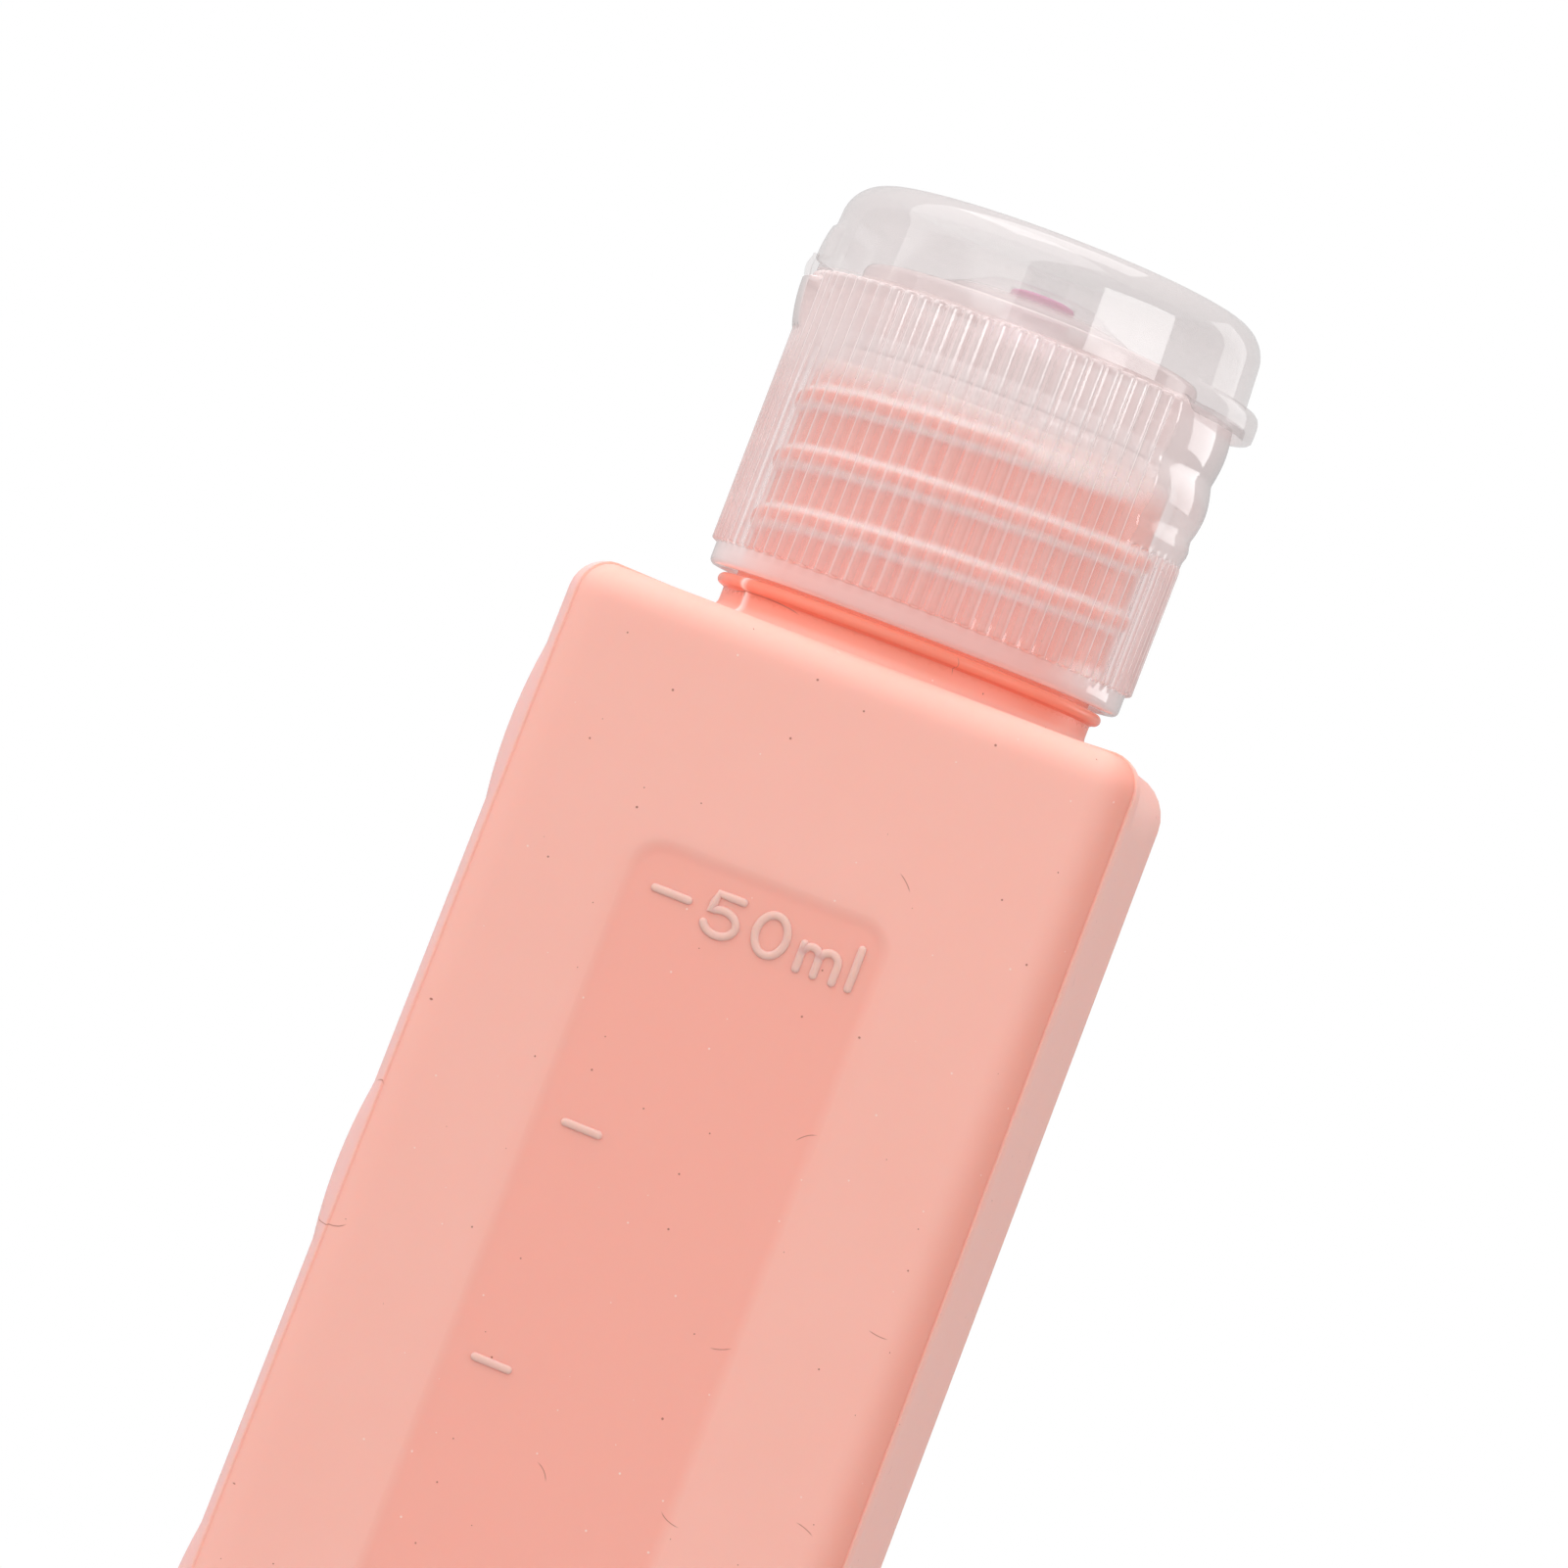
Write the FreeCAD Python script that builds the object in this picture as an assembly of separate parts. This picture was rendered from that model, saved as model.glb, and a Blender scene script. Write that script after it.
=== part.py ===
import FreeCAD
import Part
import math
import os
from FreeCAD import Vector

# Squeeze bottle of soft silicone with a screw cap and a flip lid, in millimetres.
# The base stands on z = 0, the scale window faces -Y, the thumb tab +X and the lid's hinge -X.

# Silicone body
body_height = 85.2
body_width_base = 34.2
body_width_shoulder = 33.0
body_depth = 28.0
upright_radius = 2.4
shoulder_radius = 1.9
base_radius = 1.4
wall = 1.7
floor_thickness = 2.0
cavity_radius = 1.2
cavity_rim_radius = 1.1
foot_rim_width = 4.0
foot_recess_depth = 0.5

# Neck of the body, which stands a little towards the thumb tab
neck_offset = 0.6
neck_radius = 11.0
neck_height = 15.1
neck_wall = 1.5
neck_flare = 0.6
thread_root_radius = 10.1
rim_bevel = 0.4
bead_radius = 11.5
bead_lift = 1.25
bead_height = 0.8

# Scale window and its ticks
tick_count = 5
tick_spacing = 13.53
tick_length = 2.42
tick_width = 0.42
tick_height = 0.2
tick_inset = 1.47
window_width = 14.74
window_margin_above = 2.35
window_margin_below = 5.5
window_radius = 1.84
window_depth = 0.35
window_shift = -0.2

# Low grip swells across the left side
swell_count = 3
swell_half_height = 4.5
swell_rise = 0.4
swell_top_drop = 9.9
swell_spacing = 25.7

# Hard sleeve in the neck and the sealing ring on its flange
sleeve_wall = 1.0
sleeve_clearance = 0.05
sleeve_depth = 12.0
flange_thickness = 1.0
liner_thickness = 1.0
liner_inner_radius = 7.9
liner_outer_radius = 9.8

# Screw cap
cap_gap = 0.2
rib_count = 80
rib_radius = 12.61
rib_height = 0.39
rib_width = 0.62
rim_radius = 12.27
rim_height = 1.25
rim_edge = 0.35
skirt_inner_radius = 11.25
seal_wall_height = 1.9
seal_wall_inner_radius = 8.0
seal_wall_outer_radius = 9.6
deck_thickness = 2.1
deck_rise = 1.45
plateau_radius = 10.0
plateau_edge = 0.4

# Spout in the middle of the cap
spout_height = 1.9
spout_top_radius = 3.1
spout_base_radius = 8.0
spout_curve = 0.75
spout_bore_radius = 1.95
spout_bore_height = 1.35
lip_radius = 1.3
lip_thickness = 0.55

# Thumb pad on the skirt below the tab
pad_half_angle = 37.0
pad_height = 8.4
pad_radius = 12.55
pad_ridge_heights = (0.2, 0.3, 0.15)
pad_ridge_lengths = (3.4, 3.4, 1.2)

# Valve and the ring that holds it
valve_wall = 0.5
valve_flange_radius = 4.5
valve_flange_thickness = 0.75
valve_clearance = 0.15
valve_crown = 0.35
retainer_height = 0.9
retainer_inner_radius = 3.0
retainer_clearance = 0.12
retainer_boss_wall = 1.0
retainer_boss_height = 1.8

# Flip lid
lid_gap = 0.1
lid_shift = 0.2
lid_radius_bottom = 12.7
lid_radius_top = 12.5
lid_edge_radius = 2.2
lid_wall = 1.1
lid_top_thickness = 1.2
lid_headroom = 1.2
pin_clearance = 0.2
pin_entry = 0.3
tab_overhang = 0.95
tab_half_angle = 40.0
tab_drop = 0.6
tab_rise = 1.1
tab_edge_radius = 0.7
tab_clearance = 0.2
tab_root = 0.5

# Hinge pads and the thin web between them
hinge_half_angle = 23.0
hinge_radius = 13.0
hinge_bevel = 0.5
cap_pad_top_drop = 0.5
cap_pad_height = 2.9
lid_pad_lift = 0.6
lid_pad_height = 2.0
web_half_angle = 15.0
web_thickness = 0.32
web_bulge = 0.2
web_inset = 0.05

# How far a cutting shape runs past the face it cuts
cut_margin = 1.0

# Heights that follow from the sizes above
bead_bottom = body_height + bead_lift
bead_top = bead_bottom + bead_height
neck_rim = body_height + neck_height
flange_top = neck_rim + flange_thickness
liner_top = flange_top + liner_thickness
cap_bottom = bead_top + cap_gap
rib_bottom = cap_bottom + rim_height
deck_under = liner_top + seal_wall_height
deck_top = deck_under + deck_thickness
skirt_top = deck_top - deck_rise
spout_top = deck_top + spout_height
lip_under = spout_top - lip_thickness
lid_bottom = skirt_top + lid_gap
lid_under = spout_top + lid_headroom
lid_top = lid_under + lid_top_thickness
neck_bore_radius = thread_root_radius - neck_wall
valley_radius = rib_radius - rib_height


def place(radius, angle, height):
    """Point at a radius and an angle in degrees about the neck axis."""
    turn = math.radians(angle)
    return Vector(neck_offset + radius * math.cos(turn), radius * math.sin(turn), height)


def turned(outline, centre=neck_offset, start=0.0, sweep=360.0):
    """Solid of revolution about an upright axis at x = centre.

    The outline is a list of (radius, height) points. A pair of such points in one entry is an arc, given
    by a point on it and its end. The sweep starts at an angle in degrees from +X.
    """
    def at(point):
        return Vector(centre + point[0], 0, point[1])

    first = at(outline[0])
    edges = []
    here = first
    for step in outline[1:]:
        if isinstance(step[0], tuple):
            end = at(step[1])
            edges.append(Part.Arc(here, at(step[0]), end).toShape())
        else:
            end = at(step)
            edges.append(Part.LineSegment(here, end).toShape())
        here = end
    if not here.isEqual(first, 1e-6):
        edges.append(Part.LineSegment(here, first).toShape())
    face = Part.Face(Part.Wire(edges))
    axis_point = Vector(centre, 0, 0)
    face.rotate(axis_point, Vector(0, 0, 1), start)
    return face.revolve(axis_point, Vector(0, 0, 1), sweep)


def corner(centre_r, centre_z, radius, angle):
    """Point of an outline on a rounding, at an angle in degrees above the outward direction."""
    turn = math.radians(angle)
    return (centre_r + radius * math.cos(turn), centre_z + radius * math.sin(turn))


def column(radius, low, high, centre=neck_offset):
    """Upright round column between two heights."""
    return Part.makeCylinder(radius, high - low, Vector(centre, 0, low))


def rounded_rectangle(width, depth, radius, height):
    """Closed wire of a rectangle with round corners, lying level and centred on the Z axis."""
    half_w = width / 2
    half_d = depth / 2
    diagonal = radius * (1 - math.sqrt(0.5))
    edges = []
    for sx, sy in ((1, -1), (1, 1), (-1, 1), (-1, -1)):
        on_width = Vector(sx * (half_w - radius), sy * half_d, height)
        middle = Vector(sx * (half_w - diagonal), sy * (half_d - diagonal), height)
        on_depth = Vector(sx * half_w, sy * (half_d - radius), height)
        first, last = (on_width, on_depth) if sx * sy < 0 else (on_depth, on_width)
        if edges:
            edges.append(Part.LineSegment(edges[-1].valueAt(edges[-1].LastParameter), first).toShape())
        edges.append(Part.Arc(first, middle, last).toShape())
    start = edges[0].valueAt(edges[0].FirstParameter)
    edges.append(Part.LineSegment(edges[-1].valueAt(edges[-1].LastParameter), start).toShape())
    return Part.Wire(edges)


def level_edges(shape, height):
    """Edges of a shape that lie level at one height."""
    near = 1e-4
    return [e for e in shape.Edges
            if abs(e.BoundBox.ZMin - height) < near and abs(e.BoundBox.ZMax - height) < near]


def tapered_block(inset, radius, low, high, low_round, high_round):
    """Body-shaped block between two heights, drawn in all round by an inset, with rounded rims."""
    def width_at(height):
        share = height / body_height
        return body_width_base + (body_width_shoulder - body_width_base) * share - 2 * inset

    depth = body_depth - 2 * inset
    wires = [rounded_rectangle(width_at(z), depth, radius, z) for z in (low, high)]
    block = Part.makeLoft(wires, True, True)
    block = block.makeFillet(high_round, level_edges(block, high))
    return block.makeFillet(low_round, level_edges(block, low))


def side_at(height):
    """Half the body's outside width at a height."""
    share = height / body_height
    return (body_width_base + (body_width_shoulder - body_width_base) * share) / 2


# Silicone body, hollow, with its neck
outside = tapered_block(0, upright_radius, 0, body_height, base_radius, shoulder_radius)
cavity = tapered_block(wall, cavity_radius, floor_thickness, body_height - wall,
                       cavity_rim_radius, cavity_rim_radius)

bead_round = bead_height / 2
neck = turned([
    (0, body_height - wall),
    (neck_radius + neck_flare, body_height - wall),
    (neck_radius + neck_flare, body_height),
    (corner(neck_radius + neck_flare, body_height + neck_flare, neck_flare, 225),
     (neck_radius, body_height + neck_flare)),
    (neck_radius, bead_bottom),
    (bead_radius - bead_round, bead_bottom),
    ((bead_radius, bead_bottom + bead_round), (bead_radius - bead_round, bead_top)),
    (thread_root_radius, bead_top),
    (thread_root_radius, neck_rim - rim_bevel),
    (thread_root_radius - rim_bevel, neck_rim),
    (0, neck_rim),
])
bore = column(neck_bore_radius, body_height - wall - cut_margin, neck_rim + cut_margin)

# Grip swells are slices of a wide roll that lies across the left wall
swell_radius = (swell_half_height ** 2 + swell_rise ** 2) / (2 * swell_rise)
swell_length = body_depth - 2 * upright_radius
swells = []
for index in range(swell_count):
    swell_z = body_height - swell_top_drop - index * swell_spacing
    swell_crown = -side_at(swell_z) - swell_rise
    roll_start = Vector(swell_crown + swell_radius, -swell_length / 2, swell_z)
    roll = Part.makeCylinder(swell_radius, swell_length, roll_start, Vector(0, 1, 0))
    slab_corner = Vector(swell_crown, -swell_length / 2, swell_z - 2 * swell_half_height)
    slab = Part.makeBox(swell_rise + wall / 2, swell_length, 4 * swell_half_height, slab_corner)
    swells.append(roll.common(slab))

bottle_body = outside.fuse([neck] + swells).cut(cavity).cut(bore)

# Scale window sunk in the front wall, with raised ticks at each step of volume
front = -body_depth / 2
window_bottom = floor_thickness + tick_spacing - window_margin_below
window_top = floor_thickness + tick_count * tick_spacing + window_margin_above
window_wire = rounded_rectangle(window_width, window_top - window_bottom, window_radius, 0)
window = Part.Face(window_wire).extrude(Vector(0, 0, window_depth + cut_margin))
window.rotate(Vector(0, 0, 0), Vector(1, 0, 0), 90)
window.translate(Vector(window_shift, front + window_depth, (window_bottom + window_top) / 2))
bottle_body = bottle_body.cut(window)
tick_x = window_shift - window_width / 2 + tick_inset
ticks = [
    Part.makeBox(tick_length, tick_height + window_depth, tick_width,
                 Vector(tick_x, front + window_depth - tick_height,
                        floor_thickness + (index + 1) * tick_spacing - tick_width / 2))
    for index in range(tick_count)
]
bottle_body = bottle_body.fuse(ticks)

# Shallow recess under the base, which leaves a rim to stand on
recess_wire = rounded_rectangle(body_width_base - 2 * foot_rim_width, body_depth - 2 * foot_rim_width,
                                upright_radius, 0)
recess = Part.Face(recess_wire).extrude(Vector(0, 0, foot_recess_depth))
bottle_body = bottle_body.cut(recess).removeSplitter()

# Hard sleeve pushed into the neck, with a flange that sits on the soft rim
sleeve_outer = neck_bore_radius - sleeve_clearance
sleeve_inner = sleeve_outer - sleeve_wall
sleeve_bottom = neck_rim - sleeve_depth
neck_sleeve = turned([
    (sleeve_inner, sleeve_bottom),
    (sleeve_outer - sleeve_wall / 2, sleeve_bottom),
    (sleeve_outer, sleeve_bottom + sleeve_wall),
    (sleeve_outer, neck_rim),
    (thread_root_radius, neck_rim),
    (thread_root_radius, flange_top),
    (sleeve_inner, flange_top),
])

# Flat sealing ring on the flange
seal_liner = turned([
    (liner_inner_radius, flange_top),
    (liner_outer_radius, flange_top),
    (liner_outer_radius, liner_top),
    (liner_inner_radius, liner_top),
])

# Screw cap: a ribbed skirt, a smooth rim, and a deck with the spout, sealing wall and retainer boss
rib_step = 360.0 / rib_count
rib_half = math.degrees(rib_width / 2 / valley_radius)
rib_edges = []
for index in range(rib_count):
    crest = index * rib_step
    rib_edges.append(Part.Arc(place(valley_radius, crest - rib_half, rib_bottom),
                              place(rib_radius, crest, rib_bottom),
                              place(valley_radius, crest + rib_half, rib_bottom)).toShape())
    rib_edges.append(Part.Arc(place(valley_radius, crest + rib_half, rib_bottom),
                              place(valley_radius, crest + rib_step / 2, rib_bottom),
                              place(valley_radius, crest + rib_step - rib_half, rib_bottom)).toShape())
skirt_bore = column(skirt_inner_radius, cap_bottom - cut_margin, skirt_top + cut_margin)
skirt = Part.Face(Part.Wire(rib_edges)).extrude(Vector(0, 0, skirt_top - rib_bottom)).cut(skirt_bore)

rim = turned([
    (skirt_inner_radius, cap_bottom),
    (rim_radius - rim_edge, cap_bottom),
    (corner(rim_radius - rim_edge, cap_bottom + rim_edge, rim_edge, -45),
     (rim_radius, cap_bottom + rim_edge)),
    (rim_radius, rib_bottom),
    (skirt_inner_radius, rib_bottom),
])

spout_middle = (spout_top_radius + (spout_base_radius - spout_top_radius) * spout_curve ** 2,
                spout_top - spout_height * spout_curve)
bore_foot = lip_under - spout_bore_height
valve_seat_radius = valve_flange_radius - valve_flange_thickness
boss_inner = valve_flange_radius + retainer_clearance
boss_outer = boss_inner + retainer_boss_wall
boss_bottom = deck_under - retainer_boss_height
deck_edge = (skirt_inner_radius + valley_radius) / 2
deck = turned([
    (lip_radius, spout_top),
    (lip_radius, lip_under),
    (spout_bore_radius, lip_under),
    (spout_bore_radius, bore_foot),
    (valve_seat_radius, deck_under),
    (boss_inner, deck_under),
    (boss_inner, boss_bottom),
    (boss_outer, boss_bottom),
    (boss_outer, deck_under),
    (seal_wall_inner_radius, deck_under),
    (seal_wall_inner_radius, liner_top),
    (seal_wall_outer_radius, liner_top),
    (seal_wall_outer_radius, deck_under),
    (deck_edge, deck_under),
    (deck_edge, skirt_top),
    (plateau_radius, skirt_top),
    (plateau_radius, deck_top - plateau_edge),
    (corner(plateau_radius - plateau_edge, deck_top - plateau_edge, plateau_edge, 45),
     (plateau_radius - plateau_edge, deck_top)),
    (spout_base_radius, deck_top),
    (spout_middle, (spout_top_radius, spout_top)),
])

# Smooth thumb pad in place of the upper ribs below the tab, with low cross ridges
pad_bottom = skirt_top - pad_height
pad_inner = (skirt_inner_radius + valley_radius) / 2
pad_outline = [(pad_inner, skirt_top), (pad_radius, skirt_top)]
ridge_top = skirt_top
for ridge_height, ridge_length in zip(pad_ridge_heights, pad_ridge_lengths):
    pad_outline.append(((pad_radius + ridge_height, ridge_top - ridge_length / 2),
                        (pad_radius, ridge_top - ridge_length)))
    ridge_top -= ridge_length
pad_outline += [(pad_radius - rib_height / 2, pad_bottom), (pad_inner, pad_bottom)]
thumb_pad = turned(pad_outline, neck_offset, -pad_half_angle, 2 * pad_half_angle)
pad_clear = turned([
    (pad_inner, pad_bottom),
    (rib_radius + cut_margin, pad_bottom),
    (rib_radius + cut_margin, skirt_top + cut_margin),
    (pad_inner, skirt_top + cut_margin),
], neck_offset, -pad_half_angle, 2 * pad_half_angle)


def hinge_pad(web_end, length, root):
    """Raised pad on the hinge side, round in plan, with a bevel at the end away from the web.

    The pad runs from its end at the web by a signed length, up on the lid and down on the cap.
    """
    far_end = web_end + length
    bevel_start = far_end - math.copysign(hinge_bevel, length)
    return turned([
        (root, web_end),
        (hinge_radius, web_end),
        (hinge_radius, bevel_start),
        (hinge_radius - hinge_bevel, far_end),
        (root, far_end),
    ], neck_offset, 180 - hinge_half_angle, 2 * hinge_half_angle)


cap_pad_top = skirt_top - cap_pad_top_drop
cap_pad = hinge_pad(cap_pad_top, -cap_pad_height, pad_inner)
screw_cap = skirt.cut(pad_clear).fuse([rim, deck, thumb_pad, cap_pad]).removeSplitter()

# Soft valve: a flange under the deck and a hollow stem that closes the spout
stem_radius = spout_bore_radius - valve_clearance
stem_top = lip_under - valve_clearance
flange_under = deck_under - valve_flange_thickness
no_drip_valve = turned([
    (0, stem_top),
    (0, stem_top - valve_wall),
    (stem_radius - valve_wall, stem_top - valve_crown - valve_wall),
    (stem_radius - valve_wall, bore_foot),
    (valve_seat_radius - valve_clearance - valve_wall, deck_under),
    (valve_seat_radius - valve_clearance - valve_wall, flange_under),
    (valve_flange_radius, flange_under),
    (valve_flange_radius, deck_under),
    (valve_seat_radius - valve_clearance, deck_under),
    (stem_radius, bore_foot),
    (stem_radius, stem_top - valve_crown),
])

# Snap ring below the valve's flange
valve_retainer = turned([
    (retainer_inner_radius, flange_under - retainer_height),
    (valve_flange_radius, flange_under - retainer_height),
    (valve_flange_radius, flange_under),
    (retainer_inner_radius, flange_under),
])

# Flip lid: a shallow drafted cup with a plug pin, a thumb tab and its half of the hinge
lid_centre = neck_offset + lid_shift
lid_inner_round = lid_edge_radius - lid_wall
lid_round_radius = lid_radius_top - lid_wall - lid_inner_round
pin_radius = lip_radius - pin_clearance
pin_bottom = spout_top - pin_entry
cup = turned([
    (lid_radius_bottom, lid_bottom),
    (lid_radius_top, lid_top - lid_edge_radius),
    (corner(lid_radius_top - lid_edge_radius, lid_top - lid_edge_radius, lid_edge_radius, 45),
     (lid_radius_top - lid_edge_radius, lid_top)),
    (0, lid_top),
    (0, lid_under),
    (lid_round_radius, lid_under),
    (corner(lid_round_radius, lid_under - lid_inner_round, lid_inner_round, 45),
     (lid_radius_top - lid_wall, lid_under - lid_inner_round)),
    (lid_radius_bottom - lid_wall, lid_bottom),
], lid_centre)
pin = turned([
    (0, pin_bottom),
    (pin_radius - pin_clearance, pin_bottom),
    (pin_radius, pin_bottom + pin_entry),
    (pin_radius, lid_under + lid_top_thickness / 2),
    (0, lid_under + lid_top_thickness / 2),
])

# The tab is a crescent: an off-centre disc whose rim leaves the lid's wall at the tab's half angle
reach = lid_radius_bottom + tab_overhang
tab_centre = ((reach ** 2 - lid_radius_bottom ** 2)
              / (2 * (reach - lid_radius_bottom * math.cos(math.radians(tab_half_angle)))))
tab_disc_radius = reach - tab_centre
tab_low = lid_bottom - tab_drop
tab_high = lid_bottom + tab_rise
tab_disc = turned([
    (0, tab_low),
    (tab_disc_radius - tab_drop / 2, tab_low),
    (tab_disc_radius, tab_low + tab_drop / 2),
    (tab_disc_radius, tab_high - tab_edge_radius),
    (corner(tab_disc_radius - tab_edge_radius, tab_high - tab_edge_radius, tab_edge_radius, 45),
     (tab_disc_radius - tab_edge_radius, tab_high)),
    (0, tab_high),
], lid_centre + tab_centre)
pad_reach = pad_radius + max(pad_ridge_heights)
lid_space = column(lid_radius_bottom - tab_root, tab_low - cut_margin, tab_high + cut_margin, lid_centre)
pad_space = column(max(pad_reach, rib_radius) + tab_clearance, tab_low - cut_margin, lid_bottom)
tab = tab_disc.cut([lid_space, pad_space])

lid_pad_bottom = lid_bottom + lid_pad_lift
lid_pad = hinge_pad(lid_pad_bottom, lid_pad_height, lid_radius_top - lid_wall / 2)
flip_lid = cup.fuse([pin, tab, lid_pad]).removeSplitter()

# Thin web that bows out between the two hinge pads
web_outer = hinge_radius - web_inset
web_inner = web_outer - web_thickness
web_middle = (cap_pad_top + lid_pad_bottom) / 2
hinge_web = turned([
    (web_inner, cap_pad_top),
    (web_outer, cap_pad_top),
    ((web_outer + web_bulge, web_middle), (web_outer, lid_pad_bottom)),
    (web_inner, lid_pad_bottom),
    ((web_inner + web_bulge, web_middle), (web_inner, cap_pad_top)),
], neck_offset, 180 - web_half_angle, 2 * web_half_angle)

pieces = {
    "bottle_body": bottle_body,
    "neck_sleeve": neck_sleeve,
    "seal_liner": seal_liner,
    "screw_cap": screw_cap,
    "no_drip_valve": no_drip_valve,
    "valve_retainer": valve_retainer,
    "flip_lid": flip_lid,
    "hinge_web": hinge_web,
}
os.makedirs("parts", exist_ok=True)
for node, shape in pieces.items():
    box = shape.BoundBox
    print(f"{node}: {len(shape.Solids)} solid, valid {shape.isValid()}, volume {shape.Volume:.1f} mm3, "
          f"x {box.XMin:.2f} to {box.XMax:.2f}, y {box.YMin:.2f} to {box.YMax:.2f}, "
          f"z {box.ZMin:.2f} to {box.ZMax:.2f}")
    shape.exportStep(f"parts/{node}.step")
print(f"room inside up to the shoulder: {cavity.Volume / 1000:.1f} ml")
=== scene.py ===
import math
import bpy
import numpy as np
from mathutils import Matrix, Vector


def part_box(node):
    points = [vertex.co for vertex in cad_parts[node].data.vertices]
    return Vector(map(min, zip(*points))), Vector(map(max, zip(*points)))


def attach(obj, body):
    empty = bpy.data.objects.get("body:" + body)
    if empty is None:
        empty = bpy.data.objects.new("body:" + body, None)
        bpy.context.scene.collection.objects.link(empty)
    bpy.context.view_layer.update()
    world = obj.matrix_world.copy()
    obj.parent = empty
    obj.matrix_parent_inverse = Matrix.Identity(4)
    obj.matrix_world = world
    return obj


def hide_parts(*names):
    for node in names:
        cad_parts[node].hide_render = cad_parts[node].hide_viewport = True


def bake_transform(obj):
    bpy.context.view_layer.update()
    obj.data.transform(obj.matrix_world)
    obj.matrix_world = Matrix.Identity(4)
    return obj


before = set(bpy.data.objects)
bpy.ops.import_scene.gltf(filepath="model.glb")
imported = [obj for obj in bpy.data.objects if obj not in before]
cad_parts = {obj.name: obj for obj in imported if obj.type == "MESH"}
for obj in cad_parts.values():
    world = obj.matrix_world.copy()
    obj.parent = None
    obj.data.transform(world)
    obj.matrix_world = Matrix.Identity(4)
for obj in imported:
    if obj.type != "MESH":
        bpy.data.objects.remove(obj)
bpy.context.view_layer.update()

# Camera
# It stands level with the upper body, a little to the thumb tab's side, and leans as the bottle does in the
# picture, so the bottle itself stands upright on its base. All sizes in this file are in millimetres.
MM = 0.001
picture_side = 1601
pixel_size = 0.05506
camera_distance = 305.4
camera_yaw = math.radians(7.95)
camera_lean = math.radians(21.04)
aim_sideways = -3.25
aim_height = 77.34
sideways = Vector((math.cos(camera_yaw), math.sin(camera_yaw), 0))
forward = Vector((-math.sin(camera_yaw), math.cos(camera_yaw), 0))
upward = Vector((0, 0, 1))
camera_right = sideways * math.cos(camera_lean) + upward * math.sin(camera_lean)
camera_up = upward * math.cos(camera_lean) - sideways * math.sin(camera_lean)
camera_data = bpy.data.cameras.new("camera")
camera_data.sensor_width = 36.0
camera_data.lens = camera_data.sensor_width * camera_distance / (pixel_size * picture_side)
camera_data.clip_start = 10 * MM
camera = bpy.data.objects.new("camera", camera_data)
camera.matrix_world = Matrix((camera_right, camera_up, -forward)).transposed().to_4x4()
camera.location = (sideways * aim_sideways + upward * aim_height - forward * camera_distance) * MM
scene = bpy.context.scene
scene.collection.objects.link(camera)
scene.camera = camera
scene.view_settings.view_transform = "Standard"

# Studio
# Four soft boxes light the bottle: one at its right that the lid mirrors, a wide one at the front left, one
# overhead and one behind its right side. The surround is white where it is seen, and dimmer as a lamp.


def wire(tree, kind, inputs=None, **settings):
    """Node of one kind in a tree, with its settings, and each input linked to a socket or set to a value."""
    made = tree.nodes.new(kind)
    for key, value in settings.items():
        setattr(made, key, value)
    for socket, value in (inputs or {}).items():
        if isinstance(value, bpy.types.NodeSocket):
            tree.links.new(value, made.inputs[socket])
        else:
            made.inputs[socket].default_value = value
    return made


def number(tree, operation, *values):
    """Output of a math node on one to three values or sockets."""
    return wire(tree, "ShaderNodeMath", dict(enumerate(values)), operation=operation).outputs[0]


def remap(tree, value, start, stop, low=0.0, high=1.0):
    """Output of a map range node: start up to low, stop from high on, and a straight change between them."""
    return wire(tree, "ShaderNodeMapRange", {
        "Value": value, "From Min": low, "From Max": high, "To Min": start, "To Max": stop}).outputs[0]


def shown_background(tree):
    """1 for rays from the camera or through clear plastic, and 0 for rays that light or are mirrored."""
    path = wire(tree, "ShaderNodeLightPath").outputs
    return number(tree, "MAXIMUM", path["Is Camera Ray"], path["Is Transmission Ray"])


surround_left = 0.62
surround_right = 0.44
world = bpy.data.worlds.new("white_surround")
world.use_nodes = True
tree = world.node_tree
tree.nodes.clear()
direction = wire(tree, "ShaderNodeSeparateXYZ", {0: wire(tree, "ShaderNodeTexCoord").outputs["Generated"]})
surround_light = remap(tree, direction.outputs[0], surround_left, surround_right, -1.0, 1.0)
surround = wire(tree, "ShaderNodeBackground", {
    "Color": (1, 1, 1, 1), "Strength": remap(tree, shown_background(tree), surround_light, 1.0)})
wire(tree, "ShaderNodeOutputWorld", {"Surface": surround.outputs[0]})
scene.world = world

light_aim = Vector((0, 0, 85))


def soft_box(name, azimuth, elevation, distance, width, height, power):
    """Rectangular lamp that faces the bottle; its azimuth runs from the front, -Y, to the thumb tab, +X."""
    around = math.radians(azimuth)
    above = math.radians(elevation)
    back = Vector((math.sin(around) * math.cos(above), -math.cos(around) * math.cos(above), math.sin(above)))
    data = bpy.data.lights.new(name, "AREA")
    data.shape = "RECTANGLE"
    data.size = width * MM
    data.size_y = height * MM
    data.energy = power
    lamp = bpy.data.objects.new(name, data)
    lamp.rotation_euler = (-back).to_track_quat("-Z", "Y").to_euler()
    lamp.location = (light_aim + back * distance) * MM
    scene.collection.objects.link(lamp)


soft_box("right_soft_box", 54, 13.5, 600, 450, 150, 0.92)
soft_box("left_soft_box", -44, 50, 480, 800, 700, 2.65)
soft_box("top_soft_box", 200, 82, 620, 460, 420, 1.3)
soft_box("rear_soft_box", 128, 18, 700, 320, 480, 0.8)

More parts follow.
